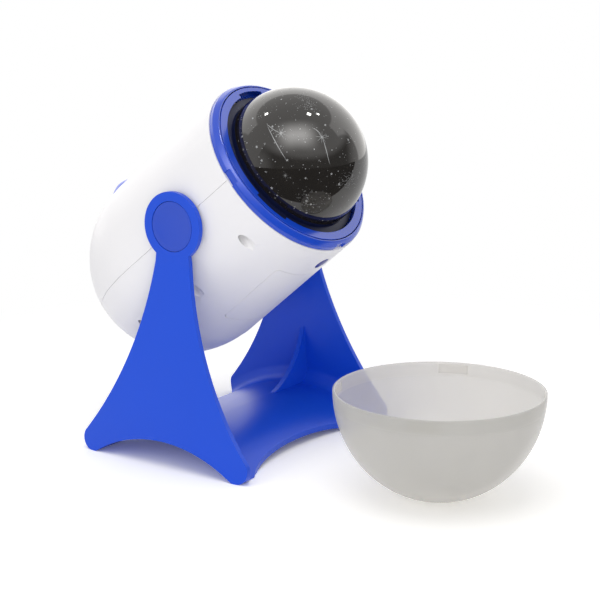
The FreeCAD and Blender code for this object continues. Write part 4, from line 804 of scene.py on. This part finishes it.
cover_low, cover_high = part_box("diffuser_cover")
cover_middle = (cover_low + cover_high) / 2
cover_radius = (cover_high.x - cover_low.x) / 2
cover_height = cover_high.z
cover_wall = 0.0012
cover_flat = 0.0006
cover_depth = cover_height + cover_flat
cover_rim_edge = 0.0005
cover_facets, cover_rings = 128, 96
collar_height, collar_step = 0.009, 0.0003
collar_bottom = cover_height - collar_height
collar_share = 0.08                     # how much more the collar hides
inside_reach = 0.0004                   # what lies within this of the inner face belongs to it
through_colour, through_share = (0.84, 0.82, 0.79, 1), 0.25
clip_width, clip_height, clip_depth, clip_drop = 0.020, 0.006, 0.0005, 0.0012
clip_edge = 0.0002
clip_angles = [math.radians(22.0 + 90.0 * k) for k in range(4)]
level_only = Vector((1, 1, 0))


def frosted_plastic(name, colour, cover_share):
    """Milky plastic that lets light and shapes through; the cover share is how much it hides."""
    material, nodes, links = new_material(name)
    out = nodes.new("ShaderNodeOutputMaterial")
    skin = nodes.new("ShaderNodeBsdfPrincipled")
    cloud = clouds(nodes, links, scale=22.0, detail=4.0)
    links.new(tinted(nodes, links, cloud, *shades(colour, spread=0.04)), skin.inputs["Base Color"])
    skin.inputs["Roughness"].default_value = 0.22
    skin.inputs["Specular IOR Level"].default_value = 0.3
    skin.inputs["Coat Weight"].default_value = 0.1
    skin.inputs["Coat Roughness"].default_value = 0.08
    place = nodes.new("ShaderNodeTexCoord").outputs["Object"]
    collar = smooth_step(nodes, links, along(nodes, links, place, (0, 0, 1)), collar_bottom - collar_step,
                         collar_bottom)
    links.new(computed(nodes, links, "MULTIPLY_ADD", collar, collar_share, cover_share), skin.inputs["Alpha"])
    through = nodes.new("ShaderNodeBsdfTranslucent")
    through.inputs["Color"].default_value = through_colour
    blend = nodes.new("ShaderNodeMixShader")
    blend.inputs["Fac"].default_value = through_share
    links.new(skin.outputs[0], blend.inputs[1])
    links.new(through.outputs[0], blend.inputs[2])
    links.new(blend.outputs[0], out.inputs["Surface"])
    return material


bpy.ops.object.select_all(action="DESELECT")
bpy.ops.mesh.primitive_uv_sphere_add(segments=cover_facets, ring_count=cover_rings, radius=1.0)
cover = bpy.context.object
cover.name = "frosted_cover"
bpy.ops.object.mode_set(mode="EDIT")
bpy.ops.mesh.select_mode(type="FACE")
select_where(cover, lambda centre: centre.z > 0)
bpy.ops.mesh.delete(type="FACE")
bpy.ops.mesh.select_all(action="SELECT")
bpy.ops.transform.resize(value=(cover_radius, cover_radius, cover_depth), center_override=(0, 0, 0))
bpy.ops.transform.translate(value=(cover_middle.x, cover_middle.y, cover_height))
bpy.ops.object.mode_set(mode="OBJECT")
solid = cover.modifiers.new("wall", "SOLIDIFY")
solid.thickness = cover_wall
solid.offset = -1.0
bpy.ops.object.modifier_apply(modifier=solid.name)
edit_whole(cover)
bpy.ops.mesh.bisect(plane_co=(0, 0, 0), plane_no=(0, 0, -1), use_fill=True, clear_outer=True)
for cut_height in (collar_bottom - collar_step, collar_bottom):
    bpy.ops.mesh.select_all(action="SELECT")
    bpy.ops.mesh.bisect(plane_co=(0, 0, cut_height), plane_no=(0, 0, 1))
bpy.ops.object.mode_set(mode="OBJECT")


def cover_inside(height):
    """The radius of the cover's inner face at a height, below its collar."""
    return cover_radius * math.sqrt(1 - ((cover_height - height) / cover_depth) ** 2) - cover_wall


for vertex in cover.data.vertices:
    reach = (vertex.co - cover_middle) * level_only
    in_collar = vertex.co.z > collar_bottom - weld_distance
    if in_collar and reach.length < cover_inside(vertex.co.z) + inside_reach:
        vertex.co -= reach.normalized() * collar_step
round_edges(cover, cover_rim_edge, segments=3, crease_angle=45)
bpy.ops.object.shade_smooth_by_angle(angle=math.radians(50))

clips = []
for angle in clip_angles:
    clip = curved_block(angle, clip_width / cover_radius, cover_height - clip_drop - clip_height,
                        cover_height - clip_drop,
                        lambda height: cover_inside(height) - collar_step - clip_depth, cover_inside)
    for vertex in clip.data.vertices:
        vertex.co += cover_middle * level_only
    round_edges(clip, clip_edge, segments=2, crease_angle=50)
    bpy.ops.object.shade_smooth_by_angle(angle=math.radians(40))
    clips.append(clip)
wall_faces = len(cover.data.polygons)
cover = join([cover] + clips)
# One plastic in two colours: the outer faces are painted darker, as painted shade, and the inner faces
# lighter, as painted light.
frosted_outside_painted_shade = frosted_plastic("frosted_outside_painted_shade", colour=(0.34, 0.35, 0.32), cover_share=0.42)
dress(cover, frosted_outside_painted_shade, "cover", "frosted_plastic", "diffuser_cover")
cover.data.materials.append(frosted_plastic("frosted_inside_painted_light", colour=(0.88, 0.85, 0.82), cover_share=0.42))
cover.data.materials.append(frosted_plastic("frosted_clips", colour=(0.95, 0.94, 0.92), cover_share=0.12))
# The inner faces, with the floor inside, take the painted light; the clips take their own colour.
for face in cover.data.polygons:
    reach = (face.center - cover_middle) * level_only
    if face.index >= wall_faces:
        face.material_index = 2
    elif reach.dot(face.normal) < 0 or face.center.z < 1.5 * cover_wall and face.normal.z > 0:
        face.material_index = 1


# ---- Inner pieces and screws
# The lamp, the drive, the cells, the switches and the boards that the casing hides, and the screws that hold
# it all. Each keeps its CAD shape and gets the finish of what it is made of.

scratch_unevenness = 0.3


def plain_metal(name, colour, roughness):
    """Drawn or turned metal with fine scratches."""
    material, nodes, links, skin = new_skin(name)
    scratch = clouds(nodes, links, scale=900.0)
    links.new(spread_over(nodes, links, scratch, low=roughness * (1 - scratch_unevenness),
                          high=roughness * (1 + scratch_unevenness)), skin.inputs["Roughness"])
    skin.inputs["Base Color"].default_value = colour + (1,)
    skin.inputs["Metallic"].default_value = 1.0
    return material


inner_finishes = {
    "steel_screws": plain_metal("zinc_steel", (0.55, 0.56, 0.58), 0.32),
    "gear_brass": plain_metal("turned_brass", (0.75, 0.52, 0.20), 0.25),
    "motor_can": plain_metal("drawn_can", (0.60, 0.61, 0.62), 0.3),
    "lamp_aluminium": plain_metal("turned_aluminium", (0.75, 0.76, 0.77), 0.35),
    "contact_nickel": plain_metal("nickel_plate", (0.66, 0.64, 0.58), 0.22),
    "fibre_washer": moulded_plastic("grey_fibre", (0.06, 0.055, 0.05), 0.8),
    "gear_plastic": moulded_plastic("natural_acetal", (0.78, 0.76, 0.68), 0.4),
    "inner_plastic": moulded_plastic("black_abs", (0.012, 0.012, 0.013), 0.45),
    "board_green": moulded_plastic("solder_mask", (0.006, 0.07, 0.022), 0.3),
    "led_lens": moulded_plastic("phosphor_lens", (0.85, 0.70, 0.18), 0.15),
    "battery_sleeve": moulded_plastic("cell_sleeve", (0.03, 0.03, 0.035), 0.3, coat=0.5),
    "component_black": moulded_plastic("black_epoxy", (0.008, 0.008, 0.008), 0.5),
}
for subpart in frame["record"]["subparts"]:
    if subpart["material_slot"] in inner_finishes:
        node = frame["nodes"][subpart["node"]]
        node.data.materials.clear()
        node.data.materials.append(inner_finishes[subpart["material_slot"]])


# ---- Power button's spring
# A coil of plated steel wire that stands on the switch board round the button's stem. It holds the button up.

spring = welded_copy("power_button_spring", "power_button_coil")
bpy.ops.object.shade_smooth_by_angle(angle=math.radians(50))
dress(spring, inner_finishes["contact_nickel"], "head", "contact_nickel", "power_button_spring")
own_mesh(spring)
